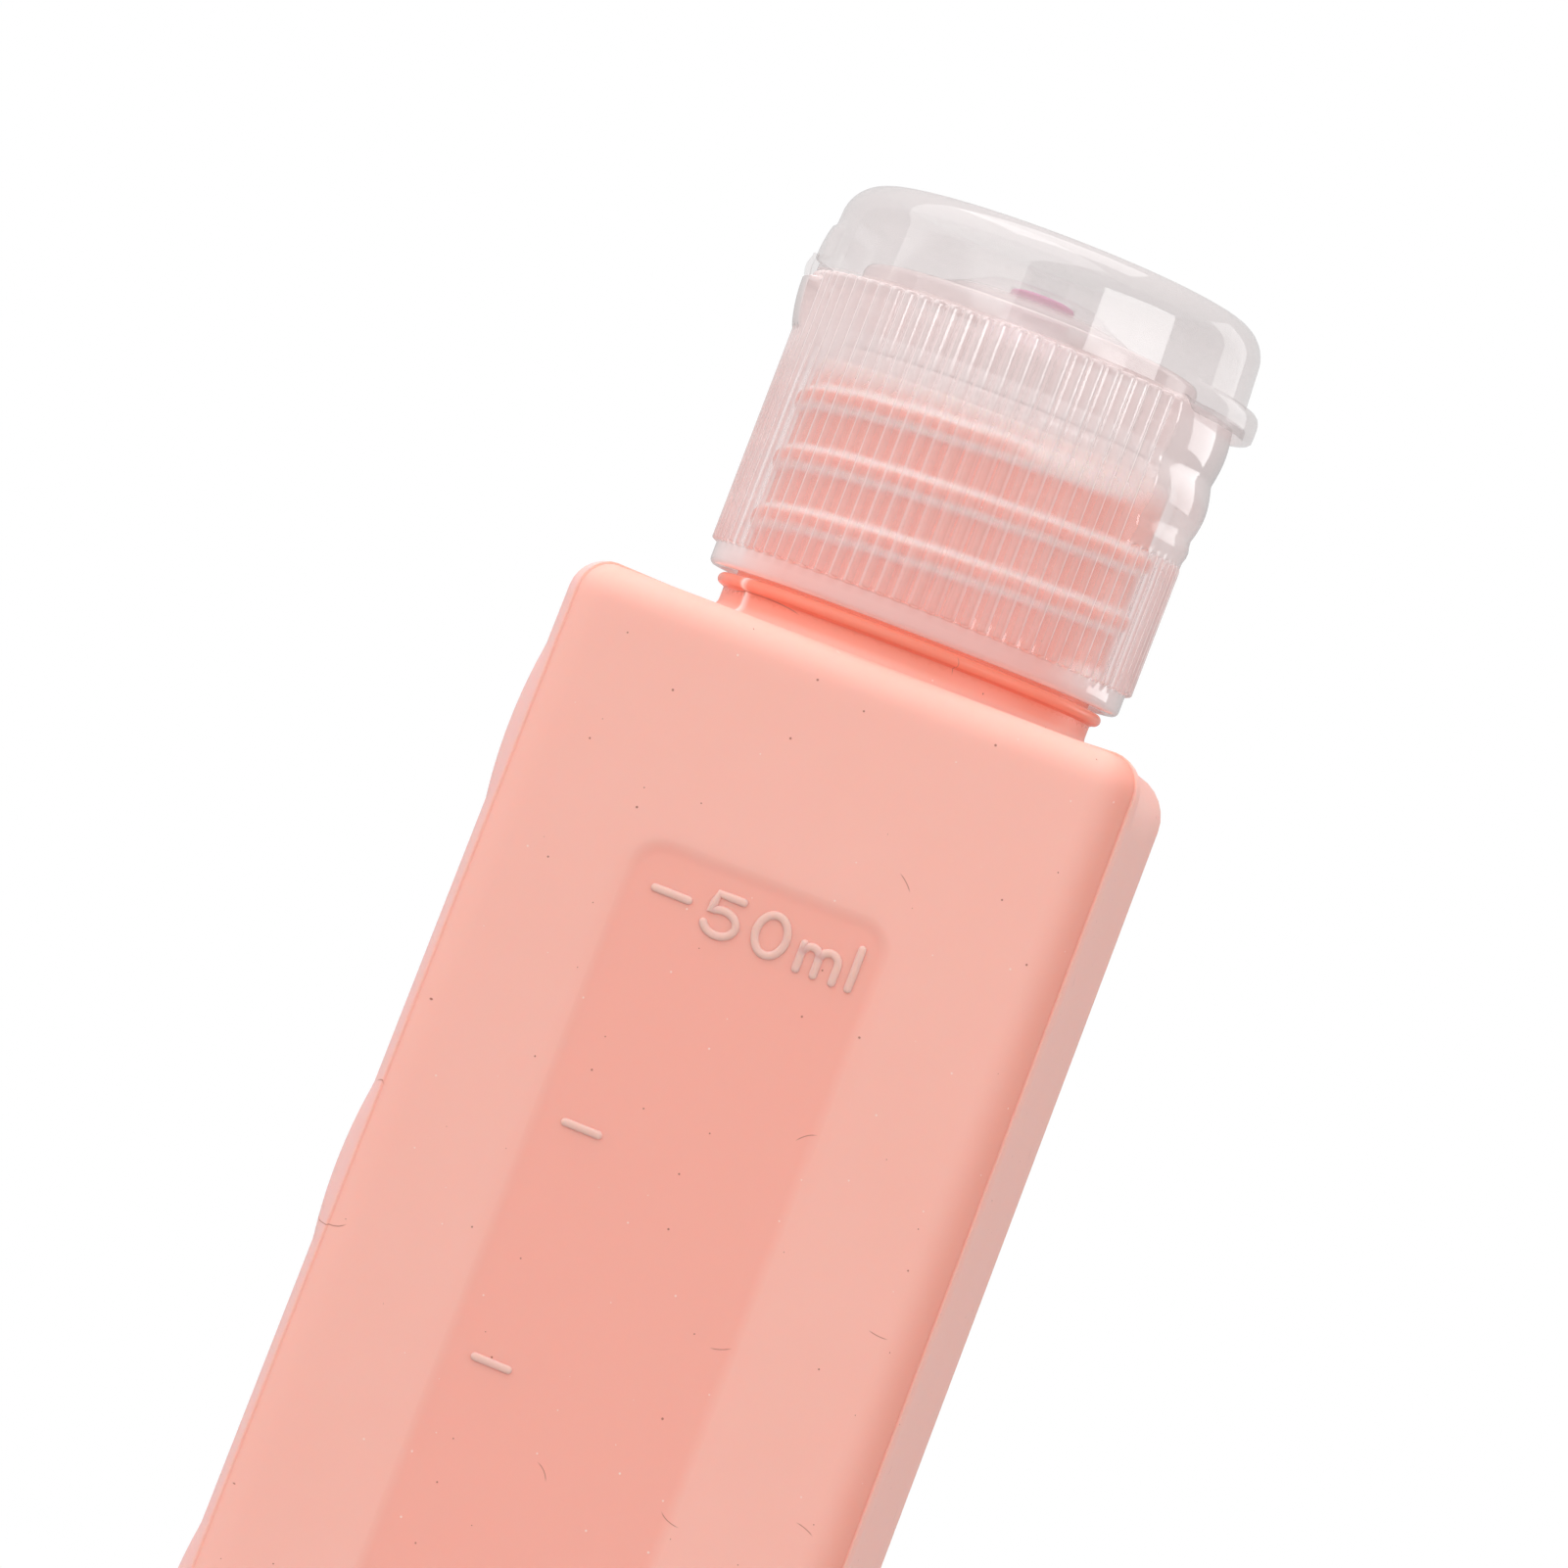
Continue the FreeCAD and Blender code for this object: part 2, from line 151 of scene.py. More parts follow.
floor_radius = 140.0
floor_sides = 96
floor_drop = 0.03
fade_start = 0.3
fade_stop = 0.95
floor_colour = (0.55, 0.55, 0.55, 1)
floor_lift = 0.45
ring_angles = np.linspace(0, 2 * math.pi, floor_sides, endpoint=False)
ring_points = np.stack([np.cos(ring_angles) * floor_radius, np.sin(ring_angles) * floor_radius,
                        np.full(floor_sides, -floor_drop)], axis=1) * MM
floor_mesh = bpy.data.meshes.new("floor")
floor_mesh.from_pydata(ring_points.tolist(), [], [list(range(floor_sides))])
floor = bpy.data.objects.new("floor", floor_mesh)
scene.collection.objects.link(floor)


def new_material(name):
    """Material with an empty node tree, and that tree."""
    material = bpy.data.materials.new(name)
    material.use_nodes = True
    material.node_tree.nodes.clear()
    return material, material.node_tree


floor_material, tree = new_material("pale_floor")
lit = wire(tree, "ShaderNodeBsdfDiffuse", {"Color": floor_colour})
glow = wire(tree, "ShaderNodeEmission", {
    "Strength": number(tree, "MULTIPLY", shown_background(tree), floor_lift)})
lit_floor = wire(tree, "ShaderNodeAddShader", {0: lit.outputs[0], 1: glow.outputs[0]})
place = wire(tree, "ShaderNodeTexCoord")
away = wire(tree, "ShaderNodeVectorMath", {0: place.outputs["Object"]}, operation="LENGTH")
fade = wire(tree, "ShaderNodeMapRange", {
    "Value": away.outputs["Value"], "From Min": floor_radius * MM * fade_start,
    "From Max": floor_radius * MM * fade_stop}, interpolation_type="SMOOTHSTEP")
clear = wire(tree, "ShaderNodeBsdfTransparent")
faded_floor = wire(tree, "ShaderNodeMixShader",
                   {0: fade.outputs["Result"], 1: lit_floor.outputs[0], 2: clear.outputs[0]})
wire(tree, "ShaderNodeOutputMaterial", {"Surface": faded_floor.outputs[0]})
floor_mesh.materials.append(floor_material)

# Silicone body
# The bottle is one moulding of soft coral silicone: a tapered box with rounded edges, a scale window sunk in
# its front, three low grip swells on its left, a shallow recess under its base, and a threaded neck.


def ease(value, low, high):
    """0 below low and 1 above high, with a smooth S between them: 3t^2 - 2t^3."""
    share = np.clip((value - low) / (high - low), 0, 1)
    return share * share * (3 - 2 * share)


def runs(*stops):
    """Values that rise in even steps from stop to stop; each stop after the first is (value, steps)."""
    here = stops[0]
    parts = [np.array([here])]
    for value, steps in stops[1:]:
        parts.append(np.linspace(here, value, steps + 1)[1:])
        here = value
    return np.concatenate(parts)


def helix_ridge(angle, height, start, pitch, low, high, foot, crest):
    """0 to 1 over a right-handed thread: 1 on a crest, 0 beyond its foot, fading at the thread's two ends.

    The nearest turn's middle is start + (n + angle / full turn) * pitch for a whole number n.
    """
    turn = angle / (2 * math.pi)
    middle = start + (np.round((height - start) / pitch - turn) + turn) * pitch
    ridge = 1 - ease(np.abs(height - middle), crest / 2, foot / 2)
    return ridge * ease(middle, low, low + pitch / 6) * (1 - ease(middle, high - pitch / 6, high))


def skin(name, grid, ring=False, crease=38.0):
    """Object whose mesh covers a grid of points: rows follow a profile, and columns go round it and wrap.

    Each cell is a quad. In a ring the last row meets the first; otherwise fans of triangles close the first
    and the last row at the middle of their points. Edges that turn by more than the crease, in degrees, stay
    sharp.
    """
    rows, columns = grid.shape[:2]
    index = np.arange(rows * columns).reshape(rows, columns)
    low = index if ring else index[:-1]
    high = np.roll(index, -1, axis=0) if ring else index[1:]
    cells = np.stack([low, np.roll(low, -1, axis=1), np.roll(high, -1, axis=1), high], axis=-1)
    faces = cells.reshape(-1, 4).tolist()
    points = grid.reshape(-1, 3)
    if not ring:
        poles = np.stack([grid[0].mean(axis=0), grid[-1].mean(axis=0)])
        first_pole = np.full(columns, len(points))
        last_pole = first_pole + 1
        points = np.vstack([points, poles])
        faces += np.stack([first_pole, np.roll(index[0], -1), index[0]], axis=-1).tolist()
        faces += np.stack([last_pole, index[-1], np.roll(index[-1], -1)], axis=-1).tolist()
    mesh = bpy.data.meshes.new(name)
    mesh.from_pydata((points * MM).tolist(), [], faces)
    mesh.polygons.foreach_set("use_smooth", np.ones(len(mesh.polygons), bool))
    mesh.set_sharp_from_angle(angle=math.radians(crease))
    piece = bpy.data.objects.new(name, mesh)
    scene.collection.objects.link(piece)
    weighted = piece.modifiers.new("flat_faces_stay_flat", "WEIGHTED_NORMAL")
    weighted.keep_sharp = True
    return piece


body_high = np.array(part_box("bottle_body")[1]) / MM
sleeve_low, sleeve_high = (np.array(corner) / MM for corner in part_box("neck_sleeve"))
body_height = 85.2
width_base = 34.2
width_shoulder = 33.0
half_depth = body_high[1]
neck_rim = body_high[2]
neck_x = (sleeve_low[0] + sleeve_high[0]) / 2
upright_radius = 2.4
shoulder_radius = 1.9
side_shoulder_radius = 3.4
rear_shoulder_radius = 2.7
base_radius = 1.4
wall = 1.7
body_floor = 2.0
cavity_corner = 1.2
cavity_round = 1.1
foot_rim = 4.0
foot_recess = 0.5

# Columns: a point of a section is core * (half size - corner radius) + facing * corner radius.
window_x = -0.2
window_half_width = 7.37
window_low = 10.03
window_high = 72.0
window_corner = 1.84
window_depth = 0.16
window_edge = 0.5
flat_half = width_base / 2 - upright_radius
left_edge = (window_x - window_half_width) / flat_half
right_edge = (window_x + window_half_width) / flat_half
near = 0.45 / flat_half
corner_zone = (window_corner + 0.6) / flat_half
front_x = runs(-1, (left_edge - near, 9), (left_edge + corner_zone, 26), (right_edge - corner_zone, 14),
               (right_edge + near, 26), (1, 9))
corner_turn = np.linspace(0, math.pi / 2, 10)[1:-1]
parting_angle = 46.0
right_parting = 66.0
near_line = np.linspace(-1.6, 1.6, 5)
parting_turn = np.radians(np.concatenate([
    (9, 18, 27, 34, 39, 42.5), parting_angle + near_line, (49.5, 53, 58, 65, 73, 81)]))
right_turn = np.radians(np.concatenate([
    (9, 18, 27, 36, 45, 53, 59.5, 63), right_parting + near_line, (69.5, 75, 82)]))
side_y = runs(-1, (-0.7, 10), (0.1, 6), (0.75, 8), (1, 3))
back_x = np.linspace(1, -1, 17)
core = np.concatenate([
    np.stack([front_x, -np.ones_like(front_x)], axis=1),
    np.tile((1, -1), (len(right_turn), 1)),
    np.stack([np.ones_like(side_y), side_y], axis=1),
    np.tile((1, 1), (len(corner_turn), 1)),
    np.stack([back_x, np.ones_like(back_x)], axis=1),
    np.tile((-1, 1), (len(corner_turn), 1)),
    np.stack([-np.ones_like(side_y), side_y[::-1]], axis=1),
    np.tile((-1, -1), (len(parting_turn), 1)),
])
facing_angle = np.concatenate([
    np.full(len(front_x), -math.pi / 2),
    right_turn - math.pi / 2,
    np.full(len(side_y), 0.0),
    corner_turn,
    np.full(len(back_x), math.pi / 2),
    corner_turn + math.pi / 2,
    np.full(len(side_y), math.pi),
    parting_turn + math.pi,
])
facing = np.stack([np.cos(facing_angle), np.sin(facing_angle)], axis=1)
on_front = facing[:, 1] < -0.999


def section(height, inset, corner_radius, side_inset=None):
    """Rows of points round the body at several heights, drawn in by an inset, with their corner radius.

    The sides may be drawn in by an inset of their own. A value is one for all columns or differs by column.
    """
    side_inset = inset if side_inset is None else side_inset
    height, inset, side_inset, corner_radius = (
        value if np.ndim(value) == 2 else np.reshape(value, (-1, 1))
        for value in (height, inset, side_inset, corner_radius))
    half_width = (width_base + (width_shoulder - width_base) * height / body_height) / 2 - side_inset
    x = core[:, 0] * (half_width - corner_radius) + facing[:, 0] * corner_radius
    y = core[:, 1] * (half_depth - inset - corner_radius) + facing[:, 1] * corner_radius
    return np.stack(np.broadcast_arrays(x, y, height), axis=-1)


arc = np.linspace(0, math.pi / 2, 8)
flat_y = core[:, 1] * (half_depth - upright_radius)
side_zone = (-11.6, -8.6)
rear_zone = (2.0, 9.0)
shoulder_rounding = (shoulder_radius + (side_shoulder_radius - shoulder_radius) * ease(flat_y, *side_zone)
                     - (side_shoulder_radius - rear_shoulder_radius) * ease(flat_y, *rear_zone))
swell_heights = (75.3, 49.6, 23.9)
top_swell, middle_swell, low_swell = swell_heights
swell_zone = 5.0
straight_top = top_swell + swell_zone
wall_z = runs(base_radius, (window_low - near * flat_half, 10), (window_low + corner_zone * flat_half, 24),
              (low_swell - swell_zone, 6), (low_swell + swell_zone, 26), (middle_swell - swell_zone, 10),
              (middle_swell + swell_zone, 26), (window_high - 3.2, 10),
              (window_high - corner_zone * flat_half, 2), (window_high + near * flat_half, 24),
              (straight_top, 20), (body_height - shoulder_radius, 4))
above = np.maximum(wall_z - straight_top, 0)[:, None]
shortened = (body_height - shoulder_rounding - straight_top) / (body_height - shoulder_radius - straight_top)
outer = section(wall_z[:, None] + above * (shortened - 1), 0.0, upright_radius)

# Scale window: the front is sunk by the depth times an eased signed distance to a rounded rectangle.
window_middle = (window_low + window_high) / 2
beyond_x = np.abs(outer[..., 0] - window_x) - (window_half_width - window_corner)
beyond_z = np.abs(outer[..., 2] - window_middle) - ((window_high - window_low) / 2 - window_corner)
outside_window = (np.hypot(np.maximum(beyond_x, 0), np.maximum(beyond_z, 0))
                  + np.minimum(np.maximum(beyond_x, beyond_z), 0) - window_corner)
sunk = np.where(on_front, 1 - ease(outside_window, -window_edge, window_edge), 0)
outer[..., 1] += window_depth * sunk

base = np.concatenate([
    section(foot_recess, foot_rim + 0.3, upright_radius),
    section(foot_recess * np.array((0.85, 0.15)), foot_rim + np.array((0.05, -0.05)), upright_radius),
    section(0, (foot_rim - 0.3, base_radius + 0.2), upright_radius - 0.3),
    section(base_radius * (1 - np.cos(arc[:-1])), base_radius * (1 - np.sin(arc[:-1])),
            upright_radius - base_radius * (1 - np.sin(arc[:-1]))),
])
bend = arc[1:, None]
bent_in = 1 - np.cos(bend)
shoulder = section(body_height - shoulder_rounding * (1 - np.sin(bend)), shoulder_radius * bent_in,
                   upright_radius - shoulder_radius * bent_in, shoulder_rounding * bent_in)

# Mould line: the mould's halves meet at the two front edges, and the rear half stands proud there by a step
# that dies away along the wall. On the neck's left the line is a thin flash.
mould_step = 0.12
mould_fade = 3.0
flash_height = 0.12
flash_spread = math.radians(1.4)
line_turns = np.radians((right_parting - 90, parting_angle + 180))
line_columns = [int(np.argmin(np.abs(facing_angle - turn))) for turn in line_turns]
along_wall = np.append(0, np.cumsum(np.linalg.norm(np.diff(outer[0], axis=0), axis=1)))
behind = np.minimum(along_wall - along_wall[line_columns[0]], along_wall[line_columns[1]] - along_wall)
proud = mould_step * ease(behind, -0.03, 0.03) * np.exp(-np.maximum(behind, 0) / mould_fade)
outer[..., :2] += facing * (proud * ease(outer[..., 2], 3.0, 12.0))[..., None]
shoulder[..., :2] += facing * (proud * np.cos(bend))[..., None]
shoulder[..., 2] += proud * np.sin(bend)

# Grip swells: the left wall and its front edge, as far as the mould line, swell by the rise times
# 1 - (z / half height)^2.
swell_half_height = 4.5
swell_rise = 0.34
swell_share = np.maximum(-facing[:, 0], 0) * ease(behind, 0.0, 0.9)
for swell_z in swell_heights:
    swell = np.maximum(1 - ((outer[..., 2] - swell_z) / swell_half_height) ** 2, 0)
    outer[..., 0] -= swell_rise * swell_share * swell

# Neck: turned rows about its own axis, at the angles of the shoulder's columns.
neck_radius = 11.0
neck_flare = 0.6
thread_root = 10.55
thread_crest = 11.0
thread_pitch = 3.5
thread_start = 89.0
rim_bevel = 0.12
bead_radius = 11.5
bead_bottom = body_height + 1.37
bead_round = 0.34
bore_radius = 8.6
bore_edge = 0.2
neck_angle = np.arctan2(shoulder[-1, :, 1], shoulder[-1, :, 0] - neck_x)
flash_share = np.exp(-((neck_angle - neck_angle[line_columns[1]]) / flash_spread) ** 2)
flash = flash_height * flash_share


def turned_rows(radius, height, angle, centre):
    """Rows of points about an upright axis at x = centre; the radius may differ from column to column."""
    radius = np.asarray(radius, float)
    if radius.ndim == 1:
        radius = radius[:, None]
    x = centre + radius * np.cos(angle)
    y = radius * np.sin(angle)
    z = np.broadcast_to(np.reshape(height, (-1, 1)) if np.ndim(height) == 1 else height, x.shape)
    return np.stack([x, y, z], axis=-1)


flare_r = neck_radius + neck_flare * (1 - np.sin(arc))
flare_z = body_height + neck_flare * (1 - np.cos(arc))
bead_arc = np.linspace(-math.pi / 2, math.pi / 2, 13)
bead_r = bead_radius - bead_round + bead_round * np.cos(bead_arc)
bead_z = bead_bottom + bead_round + bead_round * np.sin(bead_arc)
thread_z = np.arange(bead_bottom + 2 * bead_round + 0.1, neck_rim - rim_bevel, 0.22)
thread = helix_ridge(neck_angle, thread_z[:, None], thread_start, thread_pitch,
                     low=88.6, high=neck_rim - 1.0, foot=1.7, crest=0.5)
cavity_top = body_height - wall
neck = np.concatenate([
    turned_rows(flare_r[:, None] + flash, flare_z, neck_angle, neck_x),
    turned_rows(neck_radius + flash[None], [bead_bottom - 0.1], neck_angle, neck_x),
    turned_rows(bead_r[:, None] + flash / 2, bead_z, neck_angle, neck_x),
    turned_rows(thread_root + (thread_crest - thread_root) * thread, thread_z, neck_angle, neck_x),
    turned_rows([thread_root, thread_root - rim_bevel, bore_radius + bore_edge, bore_radius, bore_radius],
                [neck_rim - rim_bevel, neck_rim, neck_rim, neck_rim - bore_edge, cavity_top + bore_edge],
                neck_angle, neck_x),
])
cavity_inset = wall + cavity_round * (1 - np.cos(arc))
cavity_drop = cavity_round * (1 - np.sin(arc))
cavity = np.concatenate([
    section(cavity_top - cavity_drop[::-1], cavity_inset[::-1], cavity_corner),
    section(body_floor + cavity_drop, cavity_inset, cavity_corner),
])
flat_ring = shoulder[-1] + (neck[0] - shoulder[-1]) * np.array((0.35, 0.8))[:, None, None]
ceiling = neck[-1] * (1, 1, 0) + (0, 0, cavity_top)
body_rows = np.concatenate([base, outer, shoulder, flat_ring, neck, ceiling[None], cavity])
body = skin("silicone_body", body_rows)


def note(piece, name, values):
    """Write a point attribute of a piece from an array over its grid; its poles take the last value."""
    whole = np.full(len(piece.data.vertices), values.flat[-1], np.float32)
    whole[:values.size] = values.ravel()
    piece.data.attributes.new(name, "FLOAT", "POINT").data.foreach_set("value", whole)


window_share = np.zeros(body_rows.shape[:2])
window_share[len(base):len(base) + len(outer)] = sunk
note(body, "scale_window", window_share)
wall_rows = len(base) + len(outer) + len(shoulder)
# Painted sheen: the rear mould half's walls are tinted paler and mauve, most on the left side, in place of
# the white surround's grazing reflection.
rear_sheen_share = np.zeros(body_rows.shape[:2])
rear_sheen_share[:wall_rows] = ease(behind, -0.05, 0.25) * (0.6 - 0.4 * facing[:, 0])
note(body, "rear_half_painted_sheen", rear_sheen_share)
# Painted shade: the front edge's fillet on the right is tinted deeper coral up to the mould line, where light
# falls off on it.
front_turn = np.degrees(facing_angle) + 90
right_edge_shade_share = np.zeros(body_rows.shape[:2])
right_edge_shade_share[:wall_rows] = ease(front_turn, 0, 60) * (1 - ease(behind, -0.05, 0.02)) * (front_turn < 90)
note(body, "right_edge_painted_shade", right_edge_shade_share)
# The neck is smoother from its foot up; its deeper orange there is painted shade and bounce light under the
# bead and the cap.
note(body, "polished_neck_painted_shade", ease(body_rows[..., 2], body_height - 0.1, bead_bottom - 0.2))
# Paler towards the neck's rim; the pale lines on the thread's flanks and along the flash are painted
# highlights.
pale_rim_from = 97.5
rim_and_highlight_share = ease(body_rows[..., 2], pale_rim_from, neck_rim) ** 2
neck_first = wall_rows + len(flat_ring)
thread_first = neck_first + len(flare_r) + 1 + len(bead_r)
rim_and_highlight_share[thread_first:thread_first + len(thread_z)] += (4.0 * thread * (1 - thread)) ** 0.6
rim_and_highlight_share[neck_first:thread_first] += 0.8 * flash_share
note(body, "pale_rim_painted_highlights", np.minimum(rim_and_highlight_share, 1))


def new_group(name, inputs, outputs):
    """Empty shader node group; inputs are (name, socket type, default) and outputs (name, socket type)."""
    group = bpy.data.node_groups.new(name, "ShaderNodeTree")
    for label, kind, default in inputs:
        socket = group.interface.new_socket(name=label, in_out="INPUT", socket_type=kind)
        if default is not None:
            socket.default_value = default
    for label, kind in outputs:
        group.interface.new_socket(name=label, in_out="OUTPUT", socket_type=kind)
    return group, wire(group, "NodeGroupInput").outputs, wire(group, "NodeGroupOutput").inputs


# Dust and lint: specks at the feature points of a cell pattern, and short bent hairs turned at random in
# their cells. The pattern lies in the plane of x + y and z, so it covers the front and the sides alike.
dust, given, result = new_group(
    "dust_and_lint",
    [("Place", "NodeSocketVector", None), ("Specks", "NodeSocketFloat", 0.5),
     ("Hairs", "NodeSocketFloat", 0.5)],
    [("Speck", "NodeSocketFloat"), ("Pale speck", "NodeSocketFloat"), ("Hair", "NodeSocketFloat")])
place_axes = wire(dust, "ShaderNodeSeparateXYZ", {"Vector": given["Place"]}).outputs
flat_place = wire(dust, "ShaderNodeCombineXYZ", {
    "X": number(dust, "ADD", place_axes[0], place_axes[1]), "Y": place_axes[2]}).outputs[0]


def cells(scale):
    """Outputs of a cell pattern in the dust's plane, and three random shares that each cell has."""
    pattern = wire(dust, "ShaderNodeTexVoronoi", {"Vector": flat_place, "Scale": scale},
                   voronoi_dimensions="2D")
    shares = wire(dust, "ShaderNodeSeparateColor", {"Color": pattern.outputs["Color"]})
    return pattern.outputs, shares.outputs


speck_cells, speck_chance = cells(300.0)
speck_size = remap(dust, speck_chance[1], 0.008, 0.026)
speck_core = number(dust, "MULTIPLY", speck_size, 0.5)
speck_near = remap(dust, speck_cells["Distance"], 1.0, 0.0, speck_core, speck_size)
speck_kept = number(dust, "LESS_THAN", speck_chance[0], given["Specks"])
pale_kept = number(dust, "LESS_THAN", number(dust, "SUBTRACT", 1.0, speck_chance[0]), given["Specks"])
dust.links.new(number(dust, "MULTIPLY", speck_near, speck_kept), result["Speck"])
dust.links.new(number(dust, "MULTIPLY", speck_near, pale_kept), result["Pale speck"])
hair_cells, hair_chance = cells(130.0)
from_middle = wire(dust, "ShaderNodeVectorMath", {0: flat_place, 1: hair_cells["Position"]},
                   operation="SUBTRACT")
hair_turn = number(dust, "MULTIPLY", hair_chance[2], 2 * math.pi)
turned_place = wire(dust, "ShaderNodeVectorRotate", {"Vector": from_middle.outputs[0], "Angle": hair_turn},
                    rotation_type="Z_AXIS")
hair_axes = wire(dust, "ShaderNodeSeparateXYZ", {"Vector": turned_place.outputs[0]}).outputs
hair_bend = number(dust, "MULTIPLY", hair_axes[0], hair_axes[0])
hair_curve = remap(dust, hair_chance[1], -420.0, 420.0)
hair_off = number(dust, "ABSOLUTE", number(dust, "MULTIPLY_ADD", hair_bend, hair_curve, hair_axes[1]))
hair_thin = remap(dust, hair_off, 1.0, 0.0, 0.012 * MM, 0.04 * MM)
hair_short = remap(dust, number(dust, "ABSOLUTE", hair_axes[0]), 1.0, 0.0, 0.35 * MM, 0.6 * MM)
hair_kept = number(dust, "LESS_THAN", hair_chance[0], given["Hairs"])
hair_shape = number(dust, "MULTIPLY", hair_thin, hair_short)
dust.links.new(number(dust, "MULTIPLY", hair_shape, hair_kept), result["Hair"])


def colour_mix(tree, factor, first, second):
    """Output of a colour mix from the first colour to the second."""
    return wire(tree, "ShaderNodeMix", {"Factor": factor, 6: first, 7: second}, data_type="RGBA").outputs[2]


def silicone(name, plain, clouded, zones=(), specks=0.0, hairs=0.0):
    """Satin silicone: a clouded colour, zones of another colour and polish, dust and lint, and a faint grain.

    A zone is the attribute that masks it, its colour and how much smoother it is.
    """
    material, tree = new_material(name)
    where = wire(tree, "ShaderNodeTexCoord").outputs["Object"]
    cloud = wire(tree, "ShaderNodeTexNoise", {
        "Vector": where, "Scale": 55.0, "Detail": 3.0, "Roughness": 0.6}).outputs["Fac"]
    grain = wire(tree, "ShaderNodeTexNoise", {"Vector": where, "Scale": 2600.0, "Detail": 2.0}).outputs["Fac"]
    surface = colour_mix(tree, remap(tree, cloud, 0.0, 0.35, 0.35, 0.65), plain, clouded)
    polish = remap(tree, grain, 0.48, 0.60)
    for attribute, colour, smoother in zones:
        mask = wire(tree, "ShaderNodeAttribute", attribute_name=attribute).outputs["Fac"]
        surface = colour_mix(tree, mask, surface, colour)
        if smoother > 0:
            polish = number(tree, "MULTIPLY_ADD", mask, -smoother, polish)
    if specks > 0:
        dirt = wire(tree, "ShaderNodeGroup", {"Place": where, "Specks": specks, "Hairs": hairs},
                    node_tree=dust)
        surface = colour_mix(tree, dirt.outputs["Speck"], surface, (0.42, 0.17, 0.13, 1))
        surface = colour_mix(tree, dirt.outputs["Pale speck"], surface, (0.95, 0.66, 0.60, 1))
        surface = colour_mix(tree, dirt.outputs["Hair"], surface, (0.55, 0.24, 0.19, 1))
    bump = wire(tree, "ShaderNodeBump", {"Height": grain, "Strength": 0.12, "Distance": 0.02 * MM})
    shader = wire(tree, "ShaderNodeBsdfPrincipled", {
        "Base Color": surface, "Roughness": polish, "Normal": bump.outputs[0], "IOR": 1.41,
        "Specular IOR Level": 0.3, "Subsurface Weight": 0.3, "Subsurface Radius": (1.0, 0.34, 0.22),
        "Subsurface Scale": 1.8 * MM})
    wire(tree, "ShaderNodeOutputMaterial", {"Surface": shader.outputs[0]})
    return material


coral = silicone("coral_silicone", (0.94, 0.49, 0.415, 1), (0.91, 0.455, 0.375, 1), zones=(
    ("scale_window", (0.925, 0.42, 0.345, 1), 0.06),
    # painted sheen: pale mauve on the rear half, most on the left
    ("rear_half_painted_sheen", (0.88, 0.54, 0.505, 1), 0),
    # painted shade: deeper coral on the right front edge
    ("right_edge_painted_shade", (0.88, 0.374, 0.297, 1), 0),
    # real polish, with painted shade: deeper orange on the neck
    ("polished_neck_painted_shade", (0.87, 0.29, 0.205, 1), 0.3),
    # paler rim, and painted highlights on the thread's flanks and the flash
    ("pale_rim_painted_highlights", (0.97, 0.80, 0.77, 1), 0),
), specks=0.4, hairs=0.3)
body.data.materials.append(coral)
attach(body, "bottle")
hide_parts("bottle_body")

# Scale marks
# Ticks for every ten millilitres and the figures beside the top one are raised beads of the same silicone,
# cut into the mould as round-ended grooves, so they stand proud of the window's floor.
mark_width = 0.47
mark_height = 0.16
mark_root = 0.06
tick_count = 5
tick_length = 2.42
tick_spacing = 13.53
tick_x = window_x - window_half_width + 1.47
window_face = -half_depth + window_depth
mark_round = np.linspace(0, math.pi, 11)
mark_section = np.concatenate([np.stack([-np.cos(mark_round), np.sin(mark_round)], axis=1),
                               ((1, -mark_root / mark_height), (-1, -mark_root / mark_height))])


def raised_stroke(path, closed=False):
    """Rows of a half-round bead along a path of (x, z) points on the window's floor, with rounded ends.

    The section is a half ellipse on a shallow root. At each end it runs on by half a width and shrinks by the
    square root of 1 - t^2.
    """
    path = np.asarray(path, float)
    if closed:
        along = np.roll(path, -1, axis=0) - np.roll(path, 1, axis=0)
        shrink = np.ones(len(path))
    else:
        along = np.gradient(path, axis=0)
        ends = np.array((0.98, 0.85, 0.6, 0.3))
        unit = along / np.linalg.norm(along, axis=1, keepdims=True)
        start = path[0] - unit[0] * ends[:, None] * mark_width / 2
        stop = path[-1] + unit[-1] * ends[::-1, None] * mark_width / 2
        shrink = np.concatenate([np.sqrt(1 - ends ** 2), np.ones(len(path)), np.sqrt(1 - ends[::-1] ** 2)])
        path = np.concatenate([start, path, stop])
        along = np.concatenate([np.tile(unit[0], (len(ends), 1)), unit, np.tile(unit[-1], (len(ends), 1))])
    along = along / np.linalg.norm(along, axis=1, keepdims=True)
    across = np.stack([along[:, 1], -along[:, 0]], axis=1)
    side = mark_section[:, 0] * mark_width / 2 * shrink[:, None]
    proud = mark_section[:, 1] * mark_height * np.where(mark_section[:, 1] > 0, shrink[:, None], 1)
    x = path[:, :1] + across[:, :1] * side
    z = path[:, 1:] + across[:, 1:] * side
    return np.stack([x, window_face - proud, z], axis=-1)


def bow(centre_x, centre_z, half_width, half_height, start, stop, steps):
    """Points on an ellipse from one angle to another, in degrees."""
    angle = np.radians(np.linspace(start, stop, steps))
    return np.stack([centre_x + half_width * np.cos(angle), centre_z + half_height * np.sin(angle)], axis=1)


